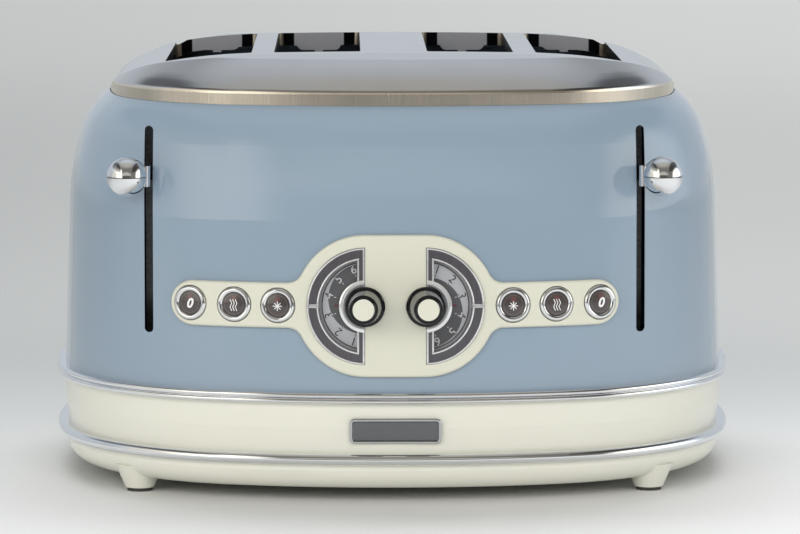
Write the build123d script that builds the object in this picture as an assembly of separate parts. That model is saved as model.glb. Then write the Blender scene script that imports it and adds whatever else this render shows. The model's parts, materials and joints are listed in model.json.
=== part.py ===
from build123d import *
import os
from math import asin, atan, atan2, cos, degrees, hypot, radians, sin, sqrt

os.makedirs("parts", exist_ok=True)

# Casing plan: eight tangent arcs, alike front and rear, left and right (millimetres)
BODY_WIDTH = 302.4
BODY_DEPTH = 279.0
FRONT_RADIUS = 273.7
SIDE_RADIUS = 289.7
CORNER_RADIUS = 101.1

# Heights of the stack, from the floor up
PAD_HEIGHT = 1.6
FOOT_HEIGHT = 5.0
BASE_HEIGHT = 11.1
LOWER_RING_HEIGHT = 5.1
BAND_HEIGHT = 22.1
UPPER_RING_HEIGHT = 4.8
SHELL_HEIGHT = 123.2

# Walls and sheets
PLASTIC_WALL = 2.6
SHELL_WALL = 1.2
PLATE_SHEET = 1.0
CHASSIS_SHEET = 1.0
RING_PROUD = 3.6
RING_SEAT = 3.0

# Outer shell profile: how far it leans in, and how high above its lower edge
SHELL_DRAFT_IN = 2.4
SHELL_DRAFT_UP = 74.3
SHELL_WAIST_IN = 8.3
SHELL_WAIST_UP = 106.3
MOUTH_IN = 21.2
SHELF_DROP = 2.7
SHELF_WIDTH = 5.0

# Base and feet
BASE_EDGE_IN = 8.0
BASE_KNEE_IN = 1.8
BASE_KNEE_UP = 4.0
FOOT_IN_X = 37.8
FOOT_IN_Y = 45.0
FOOT_TOP_RADIUS = 8.6
FOOT_BOTTOM_RADIUS = 6.5
PAD_RADIUS = 5.6
POST_RADIUS = 5.0
POST_IN_X = 31.2
POST_Y = 52.0
SCREW_RADIUS = 2.0
SCREW_HEAD_RADIUS = 3.6
SCREW_HEAD_HEIGHT = 2.2
VENT_LENGTH = 60.0
VENT_WIDTH = 4.0
VENT_ROWS = 6
VENT_PITCH = 18.0
BEAD_SHARE = 0.42

# Stainless top plate
PLATE_GAP = 0.4
PLATE_BAND_UP = 7.6
SHOULDER_KNEE_IN = 0.8
SHOULDER_KNEE_UP = 9.6
CREASE_IN = 16.0
CREASE_UP = 22.0
DOME_IN = 50.0
DOME_UP = 24.0

# Arch of the top plate: three points of its side profile, in from the plate's end and down from its crown
ARCH_UP = 23.4
ARCH_FLAT_IN = 67.6
ARCH_FLAT_DROP = 0.6
ARCH_HAUNCH_IN = 27.1
ARCH_HAUNCH_DROP = 4.5
ARCH_KNEE_IN = 7.6
ARCH_KNEE_DROP = 11.1
ARCH_END_DROP = 20.4

# Bread slots, a little behind the middle of the casing
SLOT_SETBACK = 5.0
SLOT_LENGTH = 143.0
SLOT_WIDTH = 38.6
SLOT_CORNER = 2.5
SLOT_INNER_X = 34.2
SLOT_PITCH = 48.7
SLOT_LIP_REACH = 6.0
SLOT_TAB_WIDTH = 21.0
SLOT_TAB_DROP = 8.5
SLOT_TAB_CORNER = 3.0
SLOT_NIB_WIDTH = 4.0
SLOT_NIB_DROP = 1.0

# Control panel, its dials and its buttons
PANEL_UP = 37.8
PANEL_RADIUS = 31.0
PANEL_ARM_END = 9.5
PANEL_ARM_HEIGHT = 19.8
PANEL_NECK_RADIUS = 7.0
PANEL_PROUD = 2.7
PANEL_LIFT = 0.2
PANEL_DEPTH = 4.5
PANEL_OVERLAP = 1.5
PANEL_GAP = 0.2
PANEL_BEVEL = 1.5
DIAL_X = 13.0
DIAL_EDGE = 0.3
DIAL_RADIUS = 25.4
DIAL_CLEARANCE = 0.2
DIAL_LEDGE = 3.0
BEZEL_BAND = 5.1
BEZEL_BAR = 3.2
BEZEL_PROUD = 2.4
BEZEL_LIP = 0.7
BEZEL_LIP_WIDTH = 0.8
BEZEL_SPLIT = 0.8
COLLAR_RADIUS = 11.4
FACE_THICKNESS = 1.2
FACE_DEPTH = 2.6
KNOB_BASE_RADIUS = 8.7
KNOB_TIP_RADIUS = 6.3
KNOB_LENGTH = 17.2
KNOB_GAP = 0.6
KNOB_SKIRT = 2.4
KNOB_WAIST_IN = 0.9
KNOB_EDGE = 0.5
CORNER_TOUCH = 0.01
CAP_RADIUS = 5.3
CAP_PROUD = 0.4
CAP_DOME = 0.15
CAP_SEAT = 1.2
STEM_RADIUS = 3.0
STEM_CLEARANCE = 0.4
BUTTON_COUNT = 3
BUTTON_DIAL_GAP = 4.8
BUTTON_SPACE = 3.9
BUTTON_RADIUS = 7.5
BUTTON_CLEARANCE = 0.3
BUTTON_PROUD = 0.8
BUTTON_HEAD = 2.2
BUTTON_ROLL = 1.2
LENS_SINK = 0.4
BUTTON_STEM_RADIUS = 4.0
BUTTON_SLEEVE_WALL = 1.6
BUTTON_SLEEVE_DEPTH = 6.0
BUTTON_TRAVEL = 3.0
LENS_RADIUS = 5.1
LENS_DEPTH = 1.2
LENS_DOME = 0.25
SWITCH_RADIUS = 3.0
SWITCH_GAP = 0.3
SWITCH_LENGTH = 4.0

# Control board behind the panel
BOARD_SETBACK = 10.8
BOARD_THICKNESS = 1.6
BOARD_MARGIN = 5.5
BOARD_HALF_HEIGHT = 26.0
BOARD_POST_RADIUS = 2.4
BOARD_POST_LEAN = 1.35
BOARD_POST_RISE = 5.2
BOARD_POST_UP = 22.0
TIMER_RADIUS = 8.0
TIMER_LENGTH = 9.0
SHAFT_FIT = 0.05

# Levers, carriages and their guide rods
LEVER_IN = 43.0
LEVER_UP = 92.3
LEVER_DOWN_TRAVEL = 60.0
LEVER_LIFT_TRAVEL = 14.0
SLIT_WIDTH = 3.9
SLIT_LOW_GAP = 4.6
SLIT_HIGH_GAP = 2.3
ARM_HEIGHT = 9.1
ARM_THICKNESS = 2.0
ARM_BEND = 1.5
BALL_RADIUS = 8.7
BALL_OUT = 9.1
BALL_WALL_GAP = 1.5
BALL_SEAM = 0.3
NECK_GAP = 2.95
ROD_GAP = 11.0
ROD_RADIUS = 3.0
ROD_FIT = 0.08
BLOCK_RADIUS = 7.0
BLOCK_HEIGHT = 24.0
SPRING_WIRE = 1.0
CARRIAGE_PLATE_GAP = 3.0
CARRIAGE_PLATE_SET = 0.5
RACK_BAR_WIDTH = 2.0
RACK_BAR_HEIGHT = 8.0
RACK_DROP = 32.0
RACK_WIRE_RADIUS = 1.2
RACK_WIRE_HALF = 8.0
RACK_WIRES = 7
RACK_REAR_OVERHANG = 7.0
RACK_SLIT_GAP = 0.4

# Toasting chambers
CHAMBER_GAP = 3.5
CHAMBER_TOP_UP = 9.8
SHOULDER_NOTCH = 7.5
TRAY_CLEARANCE_UP = 16.1
PLATE_LEG_GAP = 3.0
CARD_THICKNESS = 0.8
CARD_GAP = 4.4
CARD_BOTTOM_UP = 19.0
CARD_TOP_DOWN = 1.5
RIBBON_THICKNESS = 0.3
RIBBON_HEIGHT = 2.0
RIBBON_RUNS = 10
RIBBON_MARGIN = 8.0
GUIDE_IN = 0.9
GUIDE_WIRE_RADIUS = 0.8
GUIDE_BAR_RADIUS = 1.2
GUIDE_WIRES = 8
GUIDE_BAR_OVERHANG = 3.0
GUIDE_TOP_DOWN = 5.0
GUIDE_BOTTOM_UP = 26.0
GUIDE_RATIO = 0.12
GUIDE_HOLE_GAP = 0.3
SHIELD_GAP = 3.2
CENTRE_SHIELD_GAP = 4.1

# Crumb trays at the rear, and the cable gland between them
TRAY_INNER_X = 14.0
TRAY_OUTER_X = 100.0
TRAY_FRONT_GAP = 3.0
TRAY_DEPTH = 10.0
TRAY_SHEET = 0.8
TRAY_LIFT = 0.3
TRAY_DOOR_GAP = 0.5
TRAY_DOOR_UP = 0.8
TRAY_DOOR_HEIGHT = 17.8
TRAY_PULL_PROUD = 2.4
TRAY_PULL_HEIGHT = 1.2
TRAY_PULL_HALF = 18.0
GLAND_UP = 11.0
GLAND_RADIUS = 7.0
GLAND_NOSE_RADIUS = 5.0
GLAND_NOSE = 9.0
GLAND_TIP_RADIUS = 4.3
GLAND_PROUD = 0.1
GLAND_BORE = 3.4
GLAND_FLANGE = 2.0
MAGNET_X = 38.0
MAGNET_SIZE = 16.0
MAGNET_GAP = 0.5
FLOOR_IN = 6.0
BAND_TAPER = 1.4
TERMINAL_SIZE = (24.0, 16.0, 14.0)
TERMINAL_Y = 104.0

# Levels worked out from the stack
HALF_WIDTH = BODY_WIDTH / 2
HALF_DEPTH = BODY_DEPTH / 2
Z_BASE = PAD_HEIGHT + FOOT_HEIGHT
Z_LOWER_RING = Z_BASE + BASE_HEIGHT
Z_BAND = Z_LOWER_RING + LOWER_RING_HEIGHT
Z_UPPER_RING = Z_BAND + BAND_HEIGHT
Z_SHELL = Z_UPPER_RING + UPPER_RING_HEIGHT
Z_MOUTH = Z_SHELL + SHELL_HEIGHT
Z_SHELF = Z_MOUTH - SHELF_DROP
Z_PANEL = Z_SHELL + PANEL_UP
Z_LEVER = Z_SHELL + LEVER_UP
Z_FLOOR = Z_BAND + CHASSIS_SHEET
Z_RACK = Z_LEVER - RACK_DROP
Z_CHAMBER_TOP = Z_SHELF + CHAMBER_TOP_UP
PLATE_IN = MOUTH_IN + PLATE_GAP
DRAFT_ANGLE = atan(SHELL_DRAFT_IN / SHELL_DRAFT_UP)

# Places worked out from the casing and from the pieces that lie side by side
FOOT_X = HALF_WIDTH - FOOT_IN_X
FOOT_Y = HALF_DEPTH - FOOT_IN_Y
POST_X = HALF_WIDTH - POST_IN_X
LEVER_X = HALF_WIDTH - LEVER_IN
SLOT_OUTER_X = SLOT_INNER_X + SLOT_PITCH
SLOT_XS = (SLOT_INNER_X, SLOT_OUTER_X)
CHAMBER_HALF_LENGTH = SLOT_LENGTH / 2 + CHAMBER_GAP
CHAMBER_FRONT = CHAMBER_HALF_LENGTH - SLOT_SETBACK
CHAMBER_REAR = CHAMBER_HALF_LENGTH + SLOT_SETBACK
TRAY_FRONT = CHAMBER_FRONT - TRAY_FRONT_GAP
ROD_X = (SLOT_INNER_X + SLOT_OUTER_X) / 2
ROD_Y = CHAMBER_FRONT + CHASSIS_SHEET + ROD_GAP
CARD_OUT = SLOT_WIDTH / 2 + CARD_GAP
CARD_X = (SLOT_INNER_X - CARD_OUT, ROD_X, SLOT_OUTER_X + CARD_OUT)
SHIELD_X = CARD_X[2] + CARD_THICKNESS / 2 + SHIELD_GAP
CHAMBER_HALF_WIDTH = SHIELD_X + CARD_THICKNESS
CENTRE_SHIELD_HALF = CARD_X[0] - CARD_THICKNESS / 2 - CENTRE_SHIELD_GAP
GUIDE_OUT = SLOT_WIDTH / 2 - GUIDE_IN
BUTTON_PITCH = 2 * BUTTON_RADIUS + BUTTON_SPACE
BUTTON_FIRST_X = DIAL_X + DIAL_RADIUS + BUTTON_DIAL_GAP + BUTTON_RADIUS
BUTTON_X = [BUTTON_FIRST_X + step * BUTTON_PITCH for step in range(BUTTON_COUNT)]
PANEL_ARM_REACH = BUTTON_X[-1] + PANEL_ARM_END
BOARD_HALF_WIDTH = BUTTON_X[-1] + BOARD_MARGIN
BOARD_POST_X = (BUTTON_X[0] + BUTTON_X[1]) / 2 - BOARD_POST_LEAN


def corner_centre():
    """Centre of the corner arc that touches the front arc and the side arc inside."""
    front_y = FRONT_RADIUS - HALF_DEPTH
    side_x = HALF_WIDTH - SIDE_RADIUS
    to_front = FRONT_RADIUS - CORNER_RADIUS
    to_side = SIDE_RADIUS - CORNER_RADIUS
    apart = hypot(side_x, front_y)
    along = (to_front**2 - to_side**2 + apart**2) / (2 * apart)
    away = sqrt(to_front**2 - along**2)
    across = (side_x / apart, -front_y / apart)
    return (
        along * across[0] - away * across[1],
        front_y + along * across[1] + away * across[0],
    )


CORNER_X, CORNER_Y = corner_centre()
FRONT_HALF_ANGLE = degrees(asin(CORNER_X / (FRONT_RADIUS - CORNER_RADIUS)))
SIDE_HALF_ANGLE = degrees(asin(-CORNER_Y / (SIDE_RADIUS - CORNER_RADIUS)))


def plan_arcs():
    """The eight arcs of the plan: centre, radius, start angle and sweep, going round from the front."""
    front_y = FRONT_RADIUS - HALF_DEPTH
    side_x = SIDE_RADIUS - HALF_WIDTH
    corner_sweep = 90 - FRONT_HALF_ANGLE - SIDE_HALF_ANGLE
    arcs = []
    for turn, (face, flank) in ((0, (-1, 1)), (180, (1, -1))):
        corner_x = flank * CORNER_X
        corner_y = face * CORNER_Y
        arcs.append((0, -face * front_y, FRONT_RADIUS, turn - 90 - FRONT_HALF_ANGLE, 2 * FRONT_HALF_ANGLE))
        arcs.append((corner_x, -corner_y, CORNER_RADIUS, turn - 90 + FRONT_HALF_ANGLE, corner_sweep))
        arcs.append((-flank * side_x, 0, SIDE_RADIUS, turn - SIDE_HALF_ANGLE, 2 * SIDE_HALF_ANGLE))
        arcs.append((corner_x, corner_y, CORNER_RADIUS, turn + SIDE_HALF_ANGLE, corner_sweep))
    return arcs


def plan_face(offset, level):
    """A flat face with the casing's plan, grown outwards by offset, at a height."""
    edges = [
        CenterArc((x, y), radius + offset, start, sweep).moved(Location((0, 0, level)))
        for x, y, radius, start, sweep in plan_arcs()
    ]
    return Face(Wire(edges))


def plan_block(offset, low, high):
    """A solid with the casing's plan between two heights."""
    return extrude(plan_face(offset, low), high - low, dir=(0, 0, 1))


def around(profile):
    """Carry a profile right round the plan. Its local x is the distance outwards, its y the height."""
    pieces = []
    for x, y, radius, start, sweep in plan_arcs():
        outward = Vector(cos(radians(start)), sin(radians(start)), 0)
        origin = Vector(x, y, 0) + outward * radius
        plane = Plane(origin=origin, x_dir=outward, z_dir=outward.cross(Vector(0, 0, 1)))
        pieces.append(revolve(plane * profile, Axis((x, y, 0), (0, 0, 1)), sweep))
    return pieces[0].fuse(*pieces[1:]).clean()


def closed_profile(*lines):
    """A face from lines, arcs and polylines given in order."""
    return Face(Wire([edge for line in lines for edge in line.edges()]))


def polygon_profile(*points):
    """A face from the corners of its outline."""
    return Face(Wire(Polyline(*points, close=True).edges()))


def turned_tangent(start, tangent, end):
    """Direction in which an arc arrives, when it leaves start along tangent and passes to end."""
    chord = (Vector(*end) - Vector(*start)).normalized()
    return chord * (2 * chord.dot(tangent)) - tangent


def shell_wall_edges(inset):
    """The shell's side profile, pushed in by inset along its own normal: a drafted line and two arcs."""
    foot = Vector(0, Z_SHELL)
    top_of_draft = Vector(-SHELL_DRAFT_IN, Z_SHELL + SHELL_DRAFT_UP)
    waist = Vector(-SHELL_WAIST_IN, Z_SHELL + SHELL_WAIST_UP)
    mouth = Vector(-MOUTH_IN, Z_MOUTH)
    rise = (top_of_draft - foot).normalized()
    at_waist = turned_tangent(top_of_draft, rise, waist)
    at_mouth = turned_tangent(waist, at_waist, mouth)
    pushed = [foot - Vector(inset / cos(DRAFT_ANGLE), 0)]
    for point, tangent in ((top_of_draft, rise), (waist, at_waist), (mouth, at_mouth)):
        pushed.append(point + Vector(-tangent.Y, tangent.X) * inset)
    line = Line(pushed[0], pushed[1])
    first = TangentArc(pushed[1], pushed[2], tangent=rise)
    second = TangentArc(pushed[2], pushed[3], tangent=at_waist)
    return line, first, second


def draft_band(outer, inner, low, high):
    """A band that follows the shell's drafted wall, from outer to inner distance off its outside."""
    lean = SHELL_DRAFT_IN / SHELL_DRAFT_UP
    low_in = (low - Z_SHELL) * lean
    high_in = (high - Z_SHELL) * lean
    outside = [(outer - low_in, low), (outer - high_in, high)]
    inside = [(inner - high_in, high), (inner - low_in, low)]
    return around(polygon_profile(*outside, *inside))


def wall_plane(x, level):
    """Plane on the shell's front wall, at a distance across and a height. Its z points straight out."""
    inset = (level - Z_SHELL) * SHELL_DRAFT_IN / SHELL_DRAFT_UP
    joint_x = (FRONT_RADIUS - inset) * sin(radians(FRONT_HALF_ANGLE))
    if abs(x) <= joint_x:
        turn = asin(x / (FRONT_RADIUS - inset))
        y = FRONT_RADIUS - HALF_DEPTH - (FRONT_RADIUS - inset) * cos(turn)
    else:
        side = 1 if x > 0 else -1
        turn = asin((x - side * CORNER_X) / (CORNER_RADIUS - inset))
        y = CORNER_Y - (CORNER_RADIUS - inset) * cos(turn)
    outward = (sin(turn) * cos(DRAFT_ANGLE), -cos(turn) * cos(DRAFT_ANGLE), sin(DRAFT_ANGLE))
    return Plane(origin=(x, y, level), x_dir=(cos(turn), sin(turn), 0), z_dir=outward)


def upright_box(x, y, z):
    """A box from three (low, high) pairs."""
    size = (x[1] - x[0], y[1] - y[0], z[1] - z[0])
    middle = ((x[0] + x[1]) / 2, (y[0] + y[1]) / 2, (z[0] + z[1]) / 2)
    return Pos(*middle) * Box(*size)


def rod(start, end, radius):
    """A round bar between two points."""
    start = Vector(*start)
    end = Vector(*end)
    return Solid.make_cylinder(radius, (end - start).length, Plane(origin=start, z_dir=end - start))


def wire_bar(start, end, radius):
    """A drawn wire between two points, with six sides."""
    start = Vector(*start)
    end = Vector(*end)
    section = Plane(origin=start, z_dir=end - start) * RegularPolygon(radius, 6)
    return extrude(section, (end - start).length, dir=end - start)


def fused(pieces):
    """One solid from pieces that meet."""
    return pieces[0].fuse(*pieces[1:]).clean()


def rounded(sketch, radius, *corners):
    """A flat shape with the corners at these places rounded."""
    chosen = []
    for corner in corners:
        place = Vector(*corner)
        chosen.extend(v for v in sketch.vertices() if (v.center() - place).length < CORNER_TOUCH)
    return fillet(chosen, radius)


def foot_places():
    """Where the four feet stand."""
    return [(x, y) for x in (-FOOT_X, FOOT_X) for y in (-FOOT_Y, FOOT_Y)]


def post_places():
    """Where the four posts of the base carry the chassis floor."""
    return [(x, y) for x in (-POST_X, POST_X) for y in (-POST_Y, POST_Y)]


def base_profile(inset):
    """Rounded lower edge of the base, from its top rim in to the underside."""
    rim = (-inset, Z_LOWER_RING)
    knee = (-inset - BASE_KNEE_IN, Z_BASE + inset + BASE_KNEE_UP)
    edge = (-inset - BASE_EDGE_IN, Z_BASE + inset)
    return rim, knee, edge


def base_form(inset):
    """The base as a filled body, for the outside or for the hollow."""
    rim, knee, edge = base_profile(inset)
    block = plan_block(-inset, Z_BASE + inset, Z_LOWER_RING)
    outside = closed_profile(
        ThreePointArc(rim, knee, edge),
        Line(edge, (edge[0], edge[1] - PLASTIC_WALL)),
        Line((edge[0], edge[1] - PLASTIC_WALL), (PLASTIC_WALL, edge[1] - PLASTIC_WALL)),
        Line((PLASTIC_WALL, edge[1] - PLASTIC_WALL), (PLASTIC_WALL, Z_LOWER_RING)),
        Line((PLASTIC_WALL, Z_LOWER_RING), rim),
    )
    return block - around(outside)


def base_tray():
    """Moulded base: a dished underside, a rim, four posts for the chassis and vents below the chambers."""
    tray = base_form(0) - base_form(PLASTIC_WALL)
    posts = [rod((x, y, Z_BASE + PLASTIC_WALL / 2), (x, y, Z_BAND), POST_RADIUS) for x, y in post_places()]
    tray = tray.fuse(*posts)
    cuts = []
    for x, y in post_places():
        cuts.append(rod((x, y, Z_BASE), (x, y, Z_BAND), SCREW_RADIUS))
        cuts.append(rod((x, y, Z_BASE), (x, y, Z_BASE + SCREW_HEAD_HEIGHT), SCREW_HEAD_RADIUS))
    vent = Rectangle(VENT_LENGTH, VENT_WIDTH)
    for side in (-1, 1):
        for row in range(VENT_ROWS):
            y = (row - (VENT_ROWS - 1) / 2) * VENT_PITCH
            cuts.append(extrude(Pos(side * ROD_X, y, Z_BASE) * vent, PLASTIC_WALL))
    return tray - cuts


def feet():
    """Four tapered feet, cut to the base's curved underside."""
    body = base_form(0)
    reach = Z_BASE + BASE_HEIGHT / 2
    flare = (FOOT_TOP_RADIUS - FOOT_BOTTOM_RADIUS) / FOOT_HEIGHT
    top_radius = FOOT_BOTTOM_RADIUS + flare * (reach - PAD_HEIGHT)
    solids = []
    for x, y in foot_places():
        cone = Solid.make_cone(FOOT_BOTTOM_RADIUS, top_radius, reach - PAD_HEIGHT, Plane((x, y, PAD_HEIGHT)))
        solids.extend((cone - body).solids())
    return Compound(solids)


def foot_pads():
    """Rubber pads under the feet."""
    return Compound([rod((x, y, 0), (x, y, PAD_HEIGHT), PAD_RADIUS) for x, y in foot_places()])


def base_screws():
    """Four screws from the underside up through the posts."""
    solids = []
    for x, y in post_places():
        head = rod((x, y, Z_BASE), (x, y, Z_BASE + SCREW_HEAD_HEIGHT), SCREW_HEAD_RADIUS)
        shank = rod((x, y, Z_BASE), (x, y, Z_FLOOR), SCREW_RADIUS)
        solids.append(fused([head, shank]))
    return Compound(solids)


def ring(level, height, beads):
    """Chrome ring between two mouldings: a flat seat with one or more round beads standing proud."""
    step = height / beads
    root = RING_PROUD - BEAD_SHARE * step
    top = level + height
    edges = [Polyline((root, top), (-RING_SEAT, top), (-RING_SEAT, level), (root, level))]
    for bead in range(beads):
        low = level + bead * step
        edges.append(ThreePointArc((root, low), (RING_PROUD, low + step / 2), (root, low + step)))
    return around(closed_profile(*edges))


def lower_chrome_ring():
    """Single bead between the base and the band."""
    return ring(Z_LOWER_RING, LOWER_RING_HEIGHT, 1)


def upper_chrome_ring():
    """Double bead between the band and the shell."""
    return ring(Z_UPPER_RING, UPPER_RING_HEIGHT, 2)


def tray_opening(side, clearance, low):
    """Space of a crumb tray's door through the rear of the band, from a height up."""
    high = Z_BAND + TRAY_DOOR_UP + TRAY_DOOR_HEIGHT + clearance
    x = sorted((side * (TRAY_INNER_X - clearance), side * (TRAY_OUTER_X + clearance)))
    return upright_box(x, (0, BODY_DEPTH), (low, high))


def skirt_band():
    """Cream band between the rings, notched for the two tray doors and holed for the gland."""
    middle = Z_BAND + BAND_HEIGHT / 2
    band = around(
        polygon_profile(
            (-BAND_TAPER, Z_BAND),
            (0, middle),
            (0, Z_UPPER_RING),
            (-PLASTIC_WALL, Z_UPPER_RING),
            (-PLASTIC_WALL, middle),
            (-BAND_TAPER - PLASTIC_WALL, Z_BAND),
        )
    )
    level = Z_BAND + GLAND_UP
    cuts = [tray_opening(side, TRAY_DOOR_GAP, Z_LOWER_RING) for side in (-1, 1)]
    cuts.append(rod((0, HALF_DEPTH / 2, level), (0, BODY_DEPTH, level), GLAND_NOSE_RADIUS))
    return band - cuts


def panel_outline(grow):
    """Front outline of the control panel: a stadium about the dials, with an arm to each side."""
    radius = PANEL_RADIUS + grow
    half_arm = PANEL_ARM_HEIGHT / 2 + grow
    middle = SlotCenterToCenter(2 * DIAL_X, 2 * radius)
    outline = middle + SlotOverall(2 * (PANEL_ARM_REACH + grow), 2 * half_arm)
    neck_x = DIAL_X + sqrt(radius**2 - half_arm**2)
    necks = [(x, y) for x in (-neck_x, neck_x) for y in (-half_arm, half_arm)]
    return rounded(outline, PANEL_NECK_RADIUS, *necks)


def through_front(outline):
    """An outline drawn about the panel's middle, carried straight through the front wall."""
    plane = Plane(origin=(0, -HALF_DEPTH / 2, Z_PANEL), x_dir=(1, 0, 0), z_dir=(0, -1, 0))
    return extrude(plane * outline, HALF_DEPTH)


def lever_slits():
    """Upright slits with round ends, one for each lever's arm."""
    low = Z_LEVER - LEVER_DOWN_TRAVEL - SLIT_LOW_GAP - ARM_HEIGHT / 2
    high = Z_LEVER + LEVER_LIFT_TRAVEL + SLIT_HIGH_GAP + ARM_HEIGHT / 2
    plane = Plane(origin=(0, -HALF_DEPTH / 2, (low + high) / 2), x_dir=(0, 0, 1), z_dir=(0, -1, 0))
    shape = SlotOverall(high - low, SLIT_WIDTH)
    return [extrude(plane * Pos(0, side * LEVER_X) * shape, HALF_DEPTH) for side in (-1, 1)]


def outer_shell():
    """Painted steel shell: drafted wall, rounded shoulder, and a shelf in the mouth for the top plate."""
    outside = shell_wall_edges(0)
    inside = shell_wall_edges(SHELL_WALL)
    lip = Line(outside[2] @ 1, inside[2] @ 1)
    foot = Line(inside[0] @ 0, outside[0] @ 0)
    wall = closed_profile(*outside, lip, *inside, foot)
    inner_end = -MOUTH_IN - SHELF_WIDTH
    filled = closed_profile(
        *outside, Polyline(outside[2] @ 1, (inner_end, Z_MOUTH), (inner_end, Z_SHELL), outside[0] @ 0)
    )
    shelf = filled & polygon_profile(
        (inner_end, Z_SHELF - SHELL_WALL), (0, Z_SHELF - SHELL_WALL), (0, Z_SHELF), (inner_end, Z_SHELF)
    )
    groove = polygon_profile(
        (-MOUTH_IN, Z_SHELF), (-MOUTH_IN, Z_MOUTH), (inner_end, Z_MOUTH), (inner_end, Z_SHELF)
    )
    shell = around((wall + shelf) - groove)
    return shell - [through_front(panel_outline(-PANEL_OVERLAP)), *lever_slits()]


def plate_form(skin):
    """Body of the top plate, drawn in by skin: an upright rim, a rolled shoulder and an arched top."""
    rim = -PLATE_IN - skin
    level = Z_SHELF - skin
    high = Z_SHELF + PLATE_BAND_UP + CREASE_UP
    knee = (rim - SHOULDER_KNEE_IN, level + SHOULDER_KNEE_UP)
    crease = (rim - CREASE_IN, level + CREASE_UP)
    dome = (rim - DOME_IN, level + DOME_UP)
    band_top = (rim, level + PLATE_BAND_UP)
    roll = TangentArc(band_top, knee, tangent=(0, 1))
    flank = TangentArc(knee, crease, tangent=roll % 1)
    outside = closed_profile(
        roll,
        flank,
        Polyline(crease, dome, (dome[0], high), (-PLATE_IN + PLATE_BAND_UP, high)),
        Polyline((-PLATE_IN + PLATE_BAND_UP, high), (-PLATE_IN + PLATE_BAND_UP, band_top[1]), band_top),
    )
    crown = level + ARCH_UP
    half = HALF_WIDTH + rim
    flat = (half - ARCH_FLAT_IN, crown - ARCH_FLAT_DROP)
    haunch = (half - ARCH_HAUNCH_IN, crown - ARCH_HAUNCH_DROP)
    arch_knee = (half - ARCH_KNEE_IN, crown - ARCH_KNEE_DROP)
    end = (half, crown - ARCH_END_DROP)
    crest = ThreePointArc((-flat[0], flat[1]), (0, crown), flat)
    bend = TangentArc(flat, haunch, tangent=crest % 1)
    fall = TangentArc(haunch, arch_knee, tangent=bend % 1)
    drop = TangentArc(arch_knee, end, tangent=fall % 1)
    left_side = [mirror(arc, Plane.YZ) for arc in (drop, fall, bend)]
    foot = Polyline(end, (end[0], level), (-end[0], level), (-end[0], end[1]))
    section = closed_profile(crest, bend, fall, drop, foot, *left_side)
    arch = extrude(Plane.XZ * section, BODY_DEPTH / 2, both=True)
    return (plan_block(rim, level, high) & arch) - around(outside)


def slot_places():
    """Middles of the four bread slots across the toaster."""
    return [side * x for side in (-1, 1) for x in SLOT_XS]


def slot_tab(x, high):
    """Outline of the turned-down tab at a slot's end: rounded lower corners and a nib in the middle."""
    low = high - SLOT_TAB_DROP
    tab = Pos(x, high - SLOT_TAB_DROP / 2) * Rectangle(SLOT_TAB_WIDTH, SLOT_TAB_DROP)
    tab = rounded(tab, SLOT_TAB_CORNER, *[(x + way * SLOT_TAB_WIDTH / 2, low) for way in (-1, 1)])
    return tab + Pos(x, low) * Rectangle(SLOT_NIB_WIDTH, 2 * SLOT_NIB_DROP)


def top_plate():
    """Brushed stainless top: a pressed sheet with four slots, their lips and their turned-down tabs."""
    outside = plate_form(0)
    inside = plate_form(PLATE_SHEET)
    rind = outside - Pos(0, 0, -SLOT_LIP_REACH) * outside
    high = Z_SHELF + ARCH_UP
    trims = []
    cuts = []
    for x in slot_places():
        opening = RectangleRounded(SLOT_WIDTH, SLOT_LENGTH, SLOT_CORNER)
        lip = RectangleRounded(SLOT_WIDTH + 2 * PLATE_SHEET, SLOT_LENGTH + 2 * PLATE_SHEET, SLOT_CORNER)
        trims.append(extrude(Pos(x, SLOT_SETBACK, Z_SHELF) * (lip - opening), ARCH_UP) & rind)
        cuts.append(extrude(Pos(x, SLOT_SETBACK, 0) * opening, BODY_DEPTH))
        for end in (-1, 1):
            far = SLOT_LENGTH / 2 + PLATE_SHEET if end > 0 else -SLOT_LENGTH / 2
            plane = Plane(origin=(0, SLOT_SETBACK + far, 0), x_dir=(1, 0, 0), z_dir=(0, -1, 0))
            trims.append(extrude(plane * slot_tab(x, high), PLATE_SHEET) & outside)
    sheet = (outside - inside).fuse(*trims)
    return (sheet - cuts).clean()


def chassis_floor():
    """Steel floor of the chassis on the base's posts. The crumb trays slide on it."""
    sheet = plan_block(-FLOOR_IN, Z_BAND, Z_FLOOR)
    return sheet - [rod((x, y, Z_BAND), (x, y, Z_FLOOR), SCREW_RADIUS) for x, y in post_places()]


def guide_holes(side, slot, level):
    """Oblong holes of one end plate for the two guide bars of one slot, at one height."""
    shrink = GUIDE_RATIO * LEVER_DOWN_TRAVEL
    widen = GUIDE_RATIO * LEVER_LIFT_TRAVEL
    height = 2 * (GUIDE_BAR_RADIUS + GUIDE_HOLE_GAP)
    length = shrink + widen + height
    middle_out = GUIDE_OUT - (shrink - widen) / 2
    return [Pos(side * slot + way * middle_out, level) * Rectangle(length, height) for way in (-1, 1)]


def guide_levels():
    """Heights of the bread guides' lower and upper bars."""
    return Z_SHELL + GUIDE_BOTTOM_UP, Z_SHELF - GUIDE_TOP_DOWN


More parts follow.
